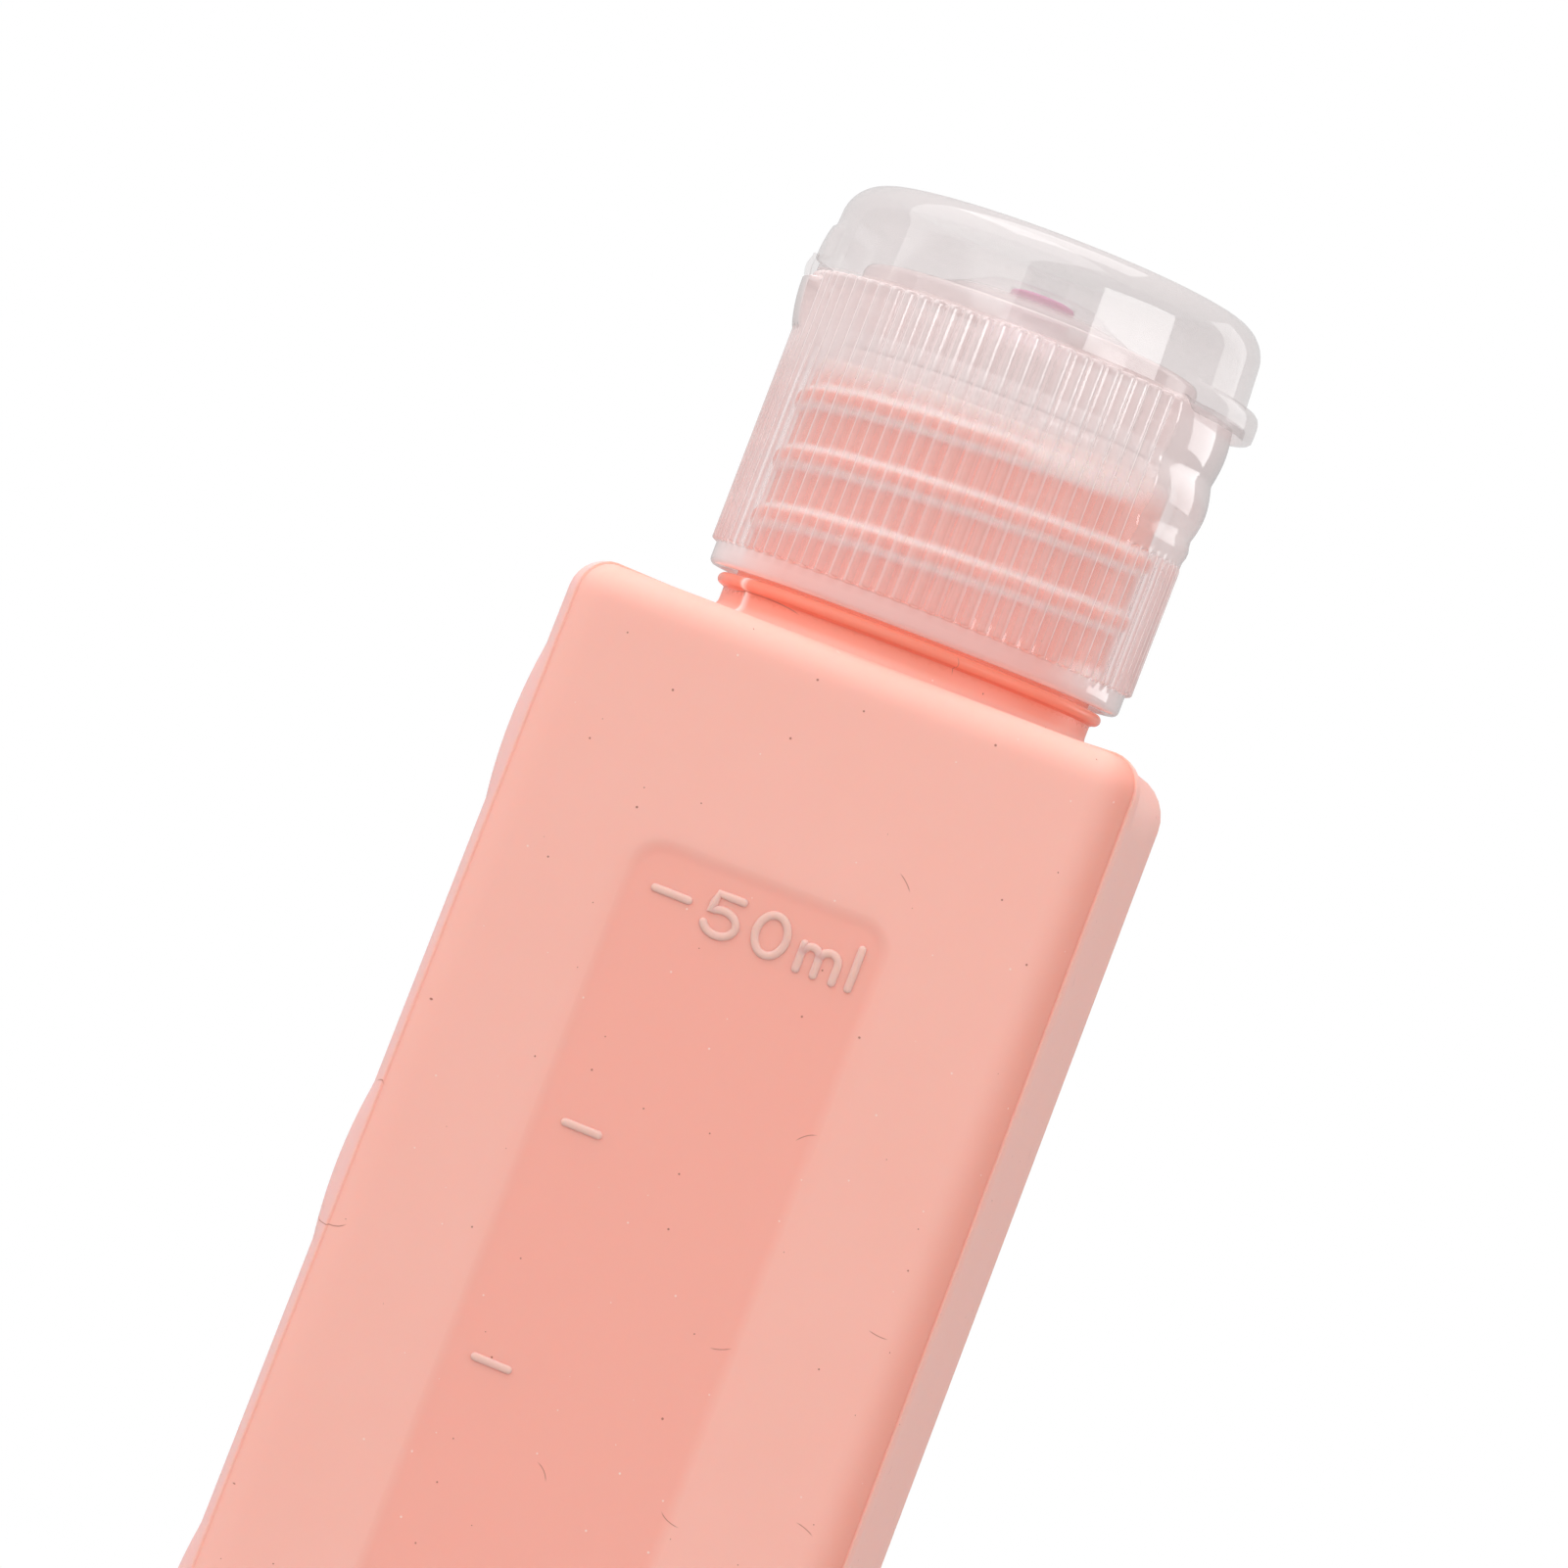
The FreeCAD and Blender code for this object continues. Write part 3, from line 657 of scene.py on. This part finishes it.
figure_place = np.array((tick_x, body_floor + tick_count * tick_spacing))
five = np.concatenate([((5.05, 0.96), (4.35, 0.96), (3.66, 0.96), (3.55, 0.45)),
                       bow(4.195, -0.54, 0.91, 0.70, 140, -160, 22)])
stem_foot = -1.34
m_first = np.array(((8.91, stem_foot), (8.91, -0.55), (8.91, 0.10)))
m_second = np.concatenate([bow(9.42, -0.42, 0.50, 0.50, 165, 0, 10), ((9.92, -0.9), (9.92, stem_foot))])
m_third = np.concatenate([bow(10.46, -0.42, 0.545, 0.53, 165, 0, 10), ((11.0, -0.9), (11.0, stem_foot))])
l_stem = np.array(((11.94, stem_foot), (11.94, -0.2), (11.94, 0.90)))
strokes = [raised_stroke(path + figure_place) for path in (five, m_first, m_second, m_third, l_stem)]
strokes += [raised_stroke(((tick_x + mark_width / 2, z), (tick_x + tick_length / 2, z),
                           (tick_x + tick_length - mark_width / 2, z)))
            for z in body_floor + tick_spacing * np.arange(1, tick_count + 1)]
zero = raised_stroke(bow(7.05, -0.15, 0.87, 1.11, 0, 354, 60) + figure_place, closed=True)
mark_pieces = [skin("mark", stroke) for stroke in strokes] + [skin("mark", zero, ring=True)]
marks = mark_pieces[0]
with bpy.context.temp_override(active_object=marks, selected_editable_objects=mark_pieces):
    bpy.ops.object.join()
marks.name = "scale_marks"
marks.data.name = "scale_marks"
raised = silicone("raised_silicone", (0.95, 0.51, 0.44, 1), (0.94, 0.49, 0.42, 1))
marks.data.materials.append(raised)
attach(marks, "bottle")

# Neck sleeve
# A hard ring of milky polypropylene is pushed into the soft neck so that the thread can't give way. Its
# flange sits on the neck's rim.


def rounded(corners, closed=True, steps=5):
    """Outline through (radius, height, rounding) corners, each rounding an arc that touches both of its runs.

    The arc's middle lies on the corner's bisector, and its points turn evenly between the touching points.
    """
    corners = np.array(corners, float)
    at = corners[:, :2]
    back = np.roll(at, 1, axis=0) - at
    ahead = np.roll(at, -1, axis=0) - at
    if not closed:
        back[0] = -ahead[0]
        ahead[-1] = -back[-1]
    back /= np.linalg.norm(back, axis=1, keepdims=True)
    ahead /= np.linalg.norm(ahead, axis=1, keepdims=True)
    half = np.arccos(np.clip((back * ahead).sum(axis=1), -1, 1)) / 2
    turn = math.pi - 2 * half
    outline = []
    for point, a, b, radius, h, sweep in zip(at, back, ahead, corners[:, 2], half, turn):
        if radius == 0:
            outline.append(point[None])
            continue
        middle = point + (a + b) / np.linalg.norm(a + b) * radius / math.sin(h)
        first = point + a * radius / math.tan(h) - middle
        last = point + b * radius / math.tan(h) - middle
        share = np.linspace(0, 1, steps + 1)[:, None]
        turned = np.sin((1 - share) * sweep) * first + np.sin(share * sweep) * last
        outline.append(middle + turned / math.sin(sweep))
    return np.concatenate(outline)


def round_angles(columns):
    """Angles of columns that stand evenly all round, from -pi on."""
    return np.linspace(-math.pi, math.pi, columns, endpoint=False)


def turned_ring(name, corners, columns, centre):
    """Ring turned from a closed, rounded outline that goes up on its outside."""
    return skin(name, turned_rows(*rounded(corners).T, round_angles(columns), centre), ring=True)


def plastic(name, tint, edge_gain=None, specks=0.0):
    """Moulded polypropylene: faint flow clouds in its tint and gloss, dust, and a coat of gloss.

    With an edge gain it is clear, a milky veil: the attribute "cover" is the share of the view that a surface
    hides, which grows by the gain where the surface is seen edge on. Its haze sends light onwards, so lamps
    shine through it more easily.
    """
    material, tree = new_material(name)
    where = wire(tree, "ShaderNodeTexCoord").outputs["Object"]
    flow = wire(tree, "ShaderNodeTexNoise", {
        "Vector": where, "Scale": 140.0, "Detail": 4.0, "Roughness": 0.55}).outputs["Fac"]
    darker = tuple(0.97 * channel for channel in tint[:3]) + (1,)
    surface = colour_mix(tree, remap(tree, flow, 0.0, 1.0, 0.3, 0.7), tint, darker)
    if specks > 0:
        dirt = wire(tree, "ShaderNodeGroup", {"Place": where, "Specks": specks, "Hairs": specks},
                    node_tree=dust)
        faint = number(tree, "MULTIPLY", dirt.outputs["Speck"], 0.6)
        surface = colour_mix(tree, faint, surface, (0.35, 0.33, 0.33, 1))
    bump = wire(tree, "ShaderNodeBump", {"Height": flow, "Strength": 0.04, "Distance": 0.05 * MM})
    shader = wire(tree, "ShaderNodeBsdfPrincipled", {
        "Base Color": surface, "Roughness": remap(tree, flow, 0.4, 0.5), "Normal": bump.outputs[0],
        "IOR": 1.3, "Coat Weight": 1.0, "Coat Roughness": 0.05, "Coat IOR": 2.1})
    if edge_gain is not None:
        cover = wire(tree, "ShaderNodeAttribute", attribute_name="cover").outputs["Fac"]
        edge = wire(tree, "ShaderNodeLayerWeight", {"Blend": 0.5}).outputs["Facing"]
        shadow = wire(tree, "ShaderNodeLightPath").outputs["Is Shadow Ray"]
        seen = number(tree, "MULTIPLY", cover, remap(tree, edge, 1.0, edge_gain, 0.25, 1.0))
        tree.links.new(number(tree, "MULTIPLY", seen, remap(tree, shadow, 1.0, 0.15)), shader.inputs["Alpha"])
    wire(tree, "ShaderNodeOutputMaterial", {"Surface": shader.outputs[0]})
    return material


sleeve_outer = 8.55
sleeve_inner = 7.55
flange_radius = 10.1
sleeve = turned_ring("neck_sleeve_ring", [
    (sleeve_inner, sleeve_low[2], 0.2),
    (sleeve_outer - 0.4, sleeve_low[2], 0.2),
    (sleeve_outer, sleeve_low[2] + 0.8, 0.2),
    (sleeve_outer, neck_rim + 0.02, 0.1),
    (flange_radius, neck_rim + 0.02, 0.15),
    (flange_radius, sleeve_high[2] - 0.01, 0.25),
    (sleeve_inner, sleeve_high[2] - 0.01, 0.25),
], 120, neck_x)
milky = plastic("milky_polypropylene", (0.95, 0.87, 0.86, 1))
sleeve.data.materials.append(milky)
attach(sleeve, "bottle")
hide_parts("neck_sleeve")

# Seal liner
# A flat ring of soft white foam lies on the sleeve's flange, and the cap's sealing wall presses it down.
liner_low, liner_high = (np.array(corner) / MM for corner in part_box("seal_liner"))
liner_inner = 7.9
liner_outer = 9.8
liner = turned_ring("seal_liner_ring", [
    (liner_inner, liner_low[2] + 0.01, 0.2),
    (liner_outer, liner_low[2] + 0.01, 0.3),
    (liner_outer, liner_high[2] - 0.02, 0.3),
    (liner_inner, liner_high[2] - 0.02, 0.2),
], 120, neck_x)
foam, tree = new_material("foam_ring")
where = wire(tree, "ShaderNodeTexCoord").outputs["Object"]
foam_cells = wire(tree, "ShaderNodeTexVoronoi", {"Vector": where, "Scale": 4200.0}).outputs["Distance"]
foam_colour = colour_mix(tree, foam_cells, (0.92, 0.89, 0.89, 1), (0.84, 0.81, 0.81, 1))
foam_bump = wire(tree, "ShaderNodeBump", {"Height": foam_cells, "Strength": 0.5, "Distance": 0.04 * MM})
foam_shader = wire(tree, "ShaderNodeBsdfPrincipled", {
    "Base Color": foam_colour, "Roughness": 0.85, "Normal": foam_bump.outputs[0]})
wire(tree, "ShaderNodeOutputMaterial", {"Surface": foam_shader.outputs[0]})
liner.data.materials.append(foam)
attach(liner, "liner")
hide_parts("seal_liner")

# Screw cap
# The cap is moulded in clear natural polypropylene: a ribbed skirt over a smooth rim, a smooth wavy thumb pad
# under the lid's tab, half of the hinge, a deck with the spout, and a thread inside that runs on the neck's.
cap_low, cap_high = (np.array(corner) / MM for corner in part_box("screw_cap"))
rib_count = 80
rib_columns = 7
rib_radius = 12.61
rib_valley = 12.22
rib_width = 0.62
rim_radius = 12.27
rim_edge = 0.35
cap_bottom = cap_low[2]
rib_bottom = cap_bottom + 1.25
deck_top = 106.3
deck_under = 104.2
skirt_top = deck_top - 1.45
skirt_inner = 11.25
top_edge = 0.22
pad_half_angle = 37.0
pad_bottom = skirt_top - 8.4
pad_radius = 12.55
pad_ridges = ((3.4, 0.2), (3.4, 0.3), (1.2, 0.15))
hinge_half_angle = 23.0
hinge_radius = 13.0
cap_hinge_top = skirt_top - 0.5
cap_hinge_bottom = cap_hinge_top - 2.9
hinge_swell = 0.1
side_blend = 0.7
cap_angle = round_angles(rib_count * rib_columns)
from_tab = np.degrees(np.abs(cap_angle))
from_hinge = 180 - from_tab


def within(turn, half_angle):
    """1 at turns inside the half angle and 0 outside it, in degrees, with a soft side."""
    return 1 - ease(turn, half_angle - side_blend, half_angle + side_blend)


# Outside of the skirt: the radius is a function of the angle and the height.
skirt_z = runs(cap_bottom + rim_edge, (rib_bottom - 0.05, 2), (rib_bottom + 0.2, 4), (pad_bottom - 0.15, 5),
               (pad_bottom + 0.15, 4), (cap_hinge_bottom - 0.05, 15), (cap_hinge_bottom + 0.5, 4),
               (cap_hinge_top - 0.08, 7), (cap_hinge_top + 0.08, 3), (skirt_top - top_edge, 2))
across_rib = (cap_angle * rib_count / (2 * math.pi) + 0.5) % 1.0 - 0.5
off_crest = np.abs(across_rib) * 2 * math.pi * rib_valley / rib_count / (rib_width / 2)
rib_shape = np.sqrt(np.maximum(1 - off_crest ** 2, 0))
high = skirt_z[:, None]
rib_share = ease(high, rib_bottom - 0.02, rib_bottom + 0.18)
skirt_r = rim_radius + (rib_valley + (rib_radius - rib_valley) * rib_shape - rim_radius) * rib_share
pad_r = np.full_like(skirt_z, pad_radius)
ridge_top = skirt_top
for ridge_length, ridge_height in pad_ridges:
    along_ridge = (ridge_top - skirt_z) / ridge_length
    on_ridge = (along_ridge > 0) & (along_ridge < 1)
    pad_r += np.where(on_ridge, ridge_height * np.sin(math.pi * np.clip(along_ridge, 0, 1)), 0)
    ridge_top -= ridge_length
on_pad = within(from_tab, pad_half_angle) * ease(high, pad_bottom - 0.12, pad_bottom + 0.12)
skirt_r = skirt_r + (pad_r[:, None] - skirt_r) * on_pad
hinge_r = rib_radius + (hinge_radius + hinge_swell - rib_radius) * np.sin(
    np.clip((high - cap_hinge_bottom) / (cap_hinge_top - cap_hinge_bottom), 0, 1) * math.pi / 2) ** 0.7
on_hinge = (within(from_hinge, hinge_half_angle)
            * ease(high, cap_hinge_bottom - 0.06, cap_hinge_bottom + 0.02)
            * (1 - ease(high, cap_hinge_top - 0.06, cap_hinge_top + 0.06)))
skirt_r = skirt_r + (hinge_r - skirt_r) * on_hinge

edge_arc = np.linspace(0, math.pi / 2, 5)
foot_r = rim_radius - rim_edge * (1 - np.sin(edge_arc[:-1]))
foot_z = cap_bottom + rim_edge * (1 - np.cos(edge_arc[:-1]))
crown_r = skirt_r[-1] - top_edge * (1 - np.cos(edge_arc[1:, None]))
crown_z = skirt_top - top_edge * (1 - np.sin(edge_arc[1:]))

# Deck, spout and the rings below the deck, from the skirt's top edge inwards and back out to its inside.
spout_top = cap_high[2]
plateau_radius = 10.0
spout_foot = 8.0
spout_tip = 3.1
spout_flare = 1.45
spout_bore = 1.95
bore_foot = 3.75
boss_inner = 4.62
boss_outer = 5.62
boss_bottom = 102.4
seal_inner = 8.0
seal_outer = 9.6
seal_bottom = liner_high[2] + 0.01
spout_share = np.linspace(0, 1, 10)[1:-1]
spout_side = np.stack([
    spout_foot + (spout_tip - spout_foot) * spout_share,
    deck_top + (spout_top - deck_top) * spout_share ** spout_flare,
    np.zeros_like(spout_share),
], axis=1)
deck_outline = rounded(np.concatenate([
    ((plateau_radius + 0.6, skirt_top, 0), (plateau_radius, skirt_top, 0.12), (plateau_radius, deck_top, 0.4),
     (spout_foot, deck_top, 0)),
    spout_side,
    ((spout_tip, spout_top, 0.35), (spout_bore, spout_top, 0.2), (spout_bore, deck_top, 0.1),
     (bore_foot, deck_under, 0), (boss_inner, deck_under, 0.1), (boss_inner, boss_bottom, 0.2),
     (boss_outer, boss_bottom, 0.2), (boss_outer, deck_under, 0.2), (seal_inner, deck_under, 0.2),
     (seal_inner, seal_bottom, 0.25), (seal_outer, seal_bottom, 0.25), (seal_outer, deck_under, 0.2),
     (skirt_inner, deck_under, 0.4), (skirt_inner, deck_under - 1.2, 0)),
]), closed=False, steps=3)

# Inside of the skirt, with a shallow thread half a pitch from the neck's.
inner_z = runs(101.0, (cap_bottom + 0.9, 44), (cap_bottom + 0.15, 2))
cap_thread = helix_ridge(cap_angle, inner_z[:, None], thread_start + thread_pitch / 2, thread_pitch,
                         low=88.9, high=99.6, foot=1.5, crest=0.55)
cap_thread_depth = 0.18
inner_r = skirt_inner - cap_thread_depth * cap_thread
cap_rows = np.concatenate([
    turned_rows(foot_r, foot_z, cap_angle, neck_x),
    turned_rows(skirt_r, skirt_z, cap_angle, neck_x),
    turned_rows(crown_r, crown_z, cap_angle, neck_x),
    turned_rows(*deck_outline.T, cap_angle, neck_x),
    turned_rows(inner_r, inner_z, cap_angle, neck_x),
    turned_rows([skirt_inner + 0.15], [cap_bottom], cap_angle, neck_x),
])
cap = skin("ribbed_screw_cap", cap_rows, ring=True, crease=50.0)

# Cover: the skirt veils least beside the thread, more above it and on the rim, and a little more on each rib.
# The deck is milky, and the spout clears towards its tip, where the valve shows.
inside_cover = 0.08
skirt_cover = 0.32
upper_cover = 0.25
rim_cover = 0.2
rib_cover = 0.055
flank_cover = 0.6
tip_clearing = 0.54
bore_cover = 0.3
boss_cover = 0.34
cap_cover = np.full(cap_rows.shape[:2], inside_cover)
ribbed = rib_shape * rib_share * (1 - on_pad) * (1 - on_hinge)
outside_rows = len(foot_r) + len(skirt_z) + len(crown_r)
outside_z = cap_rows[:outside_rows, :, 2]
upper_share = ease(outside_z, 98.9, 101.4)
rim_share = 1 - ease(outside_z, rib_bottom - 0.1, rib_bottom + 0.1)
cap_cover[:outside_rows] = skirt_cover + upper_cover * upper_share + rim_cover * rim_share
cap_cover[len(foot_r):len(foot_r) + len(skirt_z)] += rib_cover * ribbed
deck_cover = flank_cover - tip_clearing * ease(deck_outline[:, 1:], spout_top - 1.55, spout_top - 0.75)
under_cover = np.where(deck_outline[:, :1] < spout_bore + 0.55, bore_cover, boss_cover)
below_deck = np.arange(len(deck_outline)) > int(np.argmax(deck_outline[:, 1])) + 4
deck_rows = slice(outside_rows, outside_rows + len(deck_outline))
cap_cover[deck_rows] = np.where(below_deck[:, None], under_cover, deck_cover)
note(cap, "cover", cap_cover)
# Painted bounce light: the veil's pink tint stands in for coral light scattered inside the clear plastic.
clear_skirt = plastic("clear_polypropylene_skirt", (0.86, 0.73, 0.72, 1), edge_gain=2.6, specks=0.05)
cap.data.materials.append(clear_skirt)
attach(cap, "cap")
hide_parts("screw_cap")

# No-drip valve
# A small cup of magenta silicone closes the spout from inside. Its crown is cut crosswise, so it opens when
# the bottle is squeezed, and its flange is held under the deck. Its sleeve is thin and pale.
valve_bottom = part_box("no_drip_valve")[0][2] / MM + 0.02
valve_inner = 1.3
valve_outer = 1.88
valve_flange_inner = 3.1
valve_flange_outer = 4.5
valve_flange_top = deck_under - 0.03
crown_top = spout_top - 0.05
slit_depth = 0.14
valve_outline = rounded([
    (0.03, crown_top - 0.5, 0), (valve_inner, crown_top - 0.95, 0.2), (valve_inner, deck_top, 0.2),
    (valve_flange_inner, deck_under, 0.2), (valve_flange_inner, valve_bottom, 0.15),
    (valve_flange_outer, valve_bottom, 0.15), (valve_flange_outer, valve_flange_top, 0.15),
    (3.55, valve_flange_top, 0.1), (valve_outer, deck_top - 0.05, 0.2), (valve_outer, crown_top - 0.22, 0.15),
    (1.4, crown_top - 0.1, 0), (0.9, crown_top - 0.05, 0), (0.5, crown_top - 0.02, 0), (0.06, crown_top, 0),
], closed=False)
valve_rows = turned_rows(*valve_outline.T, round_angles(96), neck_x)
slit_off = np.minimum(np.abs(valve_rows[..., 0] - neck_x), np.abs(valve_rows[..., 1]))
on_crown = (valve_rows[..., 2] > crown_top - 0.3) & (valve_outline[:, :1] < 1.2)
valve_rows[..., 2] -= np.where(on_crown, slit_depth * (1 - ease(slit_off, 0.03, 0.09)), 0)
valve = skin("cross_cut_valve", valve_rows)
note(valve, "thin_sleeve", 1 - ease(valve_rows[..., 2], crown_top - 1.0, crown_top - 0.2))
magenta = silicone("magenta_silicone", (0.70, 0.27, 0.47, 1), (0.66, 0.24, 0.43, 1), zones=(
    ("thin_sleeve", (0.82, 0.62, 0.66, 1), 0),
))
valve.data.materials.append(magenta)
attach(valve, "valve")
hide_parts("no_drip_valve")

# Valve retainer
# A snap ring of milky polypropylene sits in the boss under the deck and holds the valve's flange up.
retainer_low, retainer_high = (np.array(corner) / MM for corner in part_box("valve_retainer"))
retainer_inner = 3.0
retainer_outer = 4.5
retainer = turned_ring("valve_snap_ring", [
    (retainer_inner, retainer_low[2], 0.15),
    (retainer_outer, retainer_low[2], 0.25),
    (retainer_outer, retainer_high[2] - 0.01, 0.1),
    (retainer_inner, retainer_high[2] - 0.01, 0.25),
], 96, neck_x)
retainer.data.materials.append(milky)
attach(retainer, "valve")
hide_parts("valve_retainer")

# Flip lid
# The lid is a shallow clear cup moulded with the cap: a drafted wall, a rounded crown, a plug pin for the
# spout, a thumb tab that hangs over the pad, and the upper half of the hinge.
lid_x = neck_x + 0.2
lid_bottom = skirt_top + 0.1
lid_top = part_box("flip_lid")[1][2] / MM
lid_wall = 1.1
lid_radius_low = 12.7
lid_radius_high = 12.5
lid_edge = 2.2
lid_under = lid_top - 1.2
tab_overhang = 0.95
tab_half_angle = 40.0
lid_hinge_bottom = lid_bottom + 0.6
lid_hinge_top = lid_hinge_bottom + 2.0
lid_angle = round_angles(288)
lid_from_hinge = 180 - np.degrees(np.abs(lid_angle))


def lid_wall_radius(height):
    """Outside radius of the drafted wall at a height."""
    share = np.clip((height - lid_bottom) / (lid_top - lid_edge - lid_bottom), 0, 1)
    return lid_radius_low + (lid_radius_high - lid_radius_low) * share


pin_radius = 1.1
pin_bottom = crown_top + 0.12
pin_outline = rounded([
    (0.3, pin_bottom, 0), (pin_radius, pin_bottom, 0.3), (pin_radius, lid_under, 0.25), (1.6, lid_under, 0),
], closed=False)
inner_outline = rounded([
    (2.5, lid_under, 0), (lid_radius_high - lid_wall, lid_under, lid_edge - lid_wall),
    (lid_radius_low - lid_wall, lid_bottom, 0.15), (lid_radius_low - 0.3, lid_bottom, 0),
], closed=False, steps=8)

# Tab: rows of a small section of (reach, height, height on the plain wall) that hangs below the wall's edge.
# Its reach follows the cosine of the angle.
tab_cosine = math.cos(math.radians(tab_half_angle))
tab_share = np.clip((np.cos(lid_angle) - tab_cosine) / (1 - tab_cosine), 0, 1)
tab_hang = ease(tab_share, 0.0, 0.30)
tab_section = np.array((
    (0.0, 0.0, 0.02), (0.38, 0.0, 0.10), (0.40, -0.48, 0.18), (0.48, -0.6, 0.26), (0.82, -0.6, 0.34),
    (0.97, -0.48, 0.42), (1.0, -0.1, 0.5), (1.0, 0.35, 0.58), (0.97, 0.6, 0.66), (0.86, 0.85, 0.74),
    (0.66, 1.02, 0.82), (0.4, 1.1, 0.95), (0.0, 1.12, 1.15)))
tab_plain_z = lid_bottom + tab_section[:, 2:]
tab_z = tab_plain_z + (lid_bottom + tab_section[:, 1:2] - tab_plain_z) * tab_hang
tab_r = lid_wall_radius(tab_plain_z) + tab_overhang * tab_section[:, :1] * tab_share

lid_z = runs(lid_bottom + 1.3, (lid_hinge_top - 0.6, 5), (lid_hinge_top + 0.1, 5), (lid_top - lid_edge, 4))
lid_r = np.broadcast_to(lid_wall_radius(lid_z)[:, None], (len(lid_z), len(lid_angle)))


def with_hinge(radius, height):
    """Radius raised to the hinge pad between its ends; the pad rounds off towards its top."""
    up = np.clip((height - lid_hinge_bottom) / (lid_hinge_top - lid_hinge_bottom), 0, 1)
    pad = lid_radius_low + (hinge_radius - lid_radius_low) * np.cos(up * math.pi / 2) ** 0.7
    share = (within(lid_from_hinge, hinge_half_angle)
             * ease(height, lid_hinge_bottom - 0.06, lid_hinge_bottom + 0.06)
             * (1 - ease(height, lid_hinge_top - 0.02, lid_hinge_top + 0.06)))
    return radius + (pad - radius) * share


crown_arc = np.linspace(0, math.pi / 2, 13)[1:]
crown_radius = lid_radius_high - lid_edge * (1 - np.cos(crown_arc))
crown_height = lid_top - lid_edge * (1 - np.sin(crown_arc))
lid_rows = np.concatenate([
    turned_rows(*pin_outline.T, lid_angle, neck_x),
    turned_rows(*inner_outline.T, lid_angle, lid_x),
    turned_rows(with_hinge(tab_r, tab_z), tab_z, lid_angle, lid_x),
    turned_rows(with_hinge(lid_r, lid_z[:, None]), lid_z, lid_angle, lid_x),
    turned_rows(crown_radius, crown_height, lid_angle, lid_x),
    turned_rows([6.0, 1.0], [lid_top, lid_top], lid_angle, lid_x),
])
lid = skin("clear_flip_lid", lid_rows, crease=50.0)
lid_outside_cover = 0.36
lid_inside_cover = 0.03
lid_cover = np.full(lid_rows.shape[:2], lid_outside_cover)
lid_cover[:len(pin_outline) + len(inner_outline) - 1] = lid_inside_cover
note(lid, "cover", lid_cover)
clear_lid = plastic("clear_polypropylene_lid", (0.60, 0.51, 0.505, 1), edge_gain=1.15, specks=0.05)
lid.data.materials.append(clear_lid)
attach(lid, "lid")
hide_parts("flip_lid")

# Hinge web
# A thin strap of the same polypropylene is moulded between the cap's hinge pad and the lid's.
web_half_angle = 15.0
web_thickness = 0.32
web_outer = hinge_radius + 0.02
web_bulge = 0.15
web_root = 0.15
web_cover = 0.2
web_z = np.linspace(cap_hinge_top - web_root, lid_hinge_bottom + web_root, 22)
web_across = np.radians(np.linspace(180 - web_half_angle, 180 + web_half_angle, 25))
web_middle = (cap_hinge_top + lid_hinge_bottom) / 2
web_share = np.clip(1 - ((web_z - web_middle) / (lid_hinge_bottom - web_middle)) ** 2, 0, 1)
web_loop = np.concatenate([web_across, web_across[::-1]])
web_inside = np.repeat((0.0, web_thickness), len(web_across))
web_r = web_outer + web_bulge * web_share[:, None] - web_inside
web = skin("hinge_strap", turned_rows(web_r, web_z, web_loop, neck_x))
note(web, "cover", np.full(len(web.data.vertices), web_cover))
web.data.materials.append(clear_lid)
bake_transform(web)
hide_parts("hinge_web")
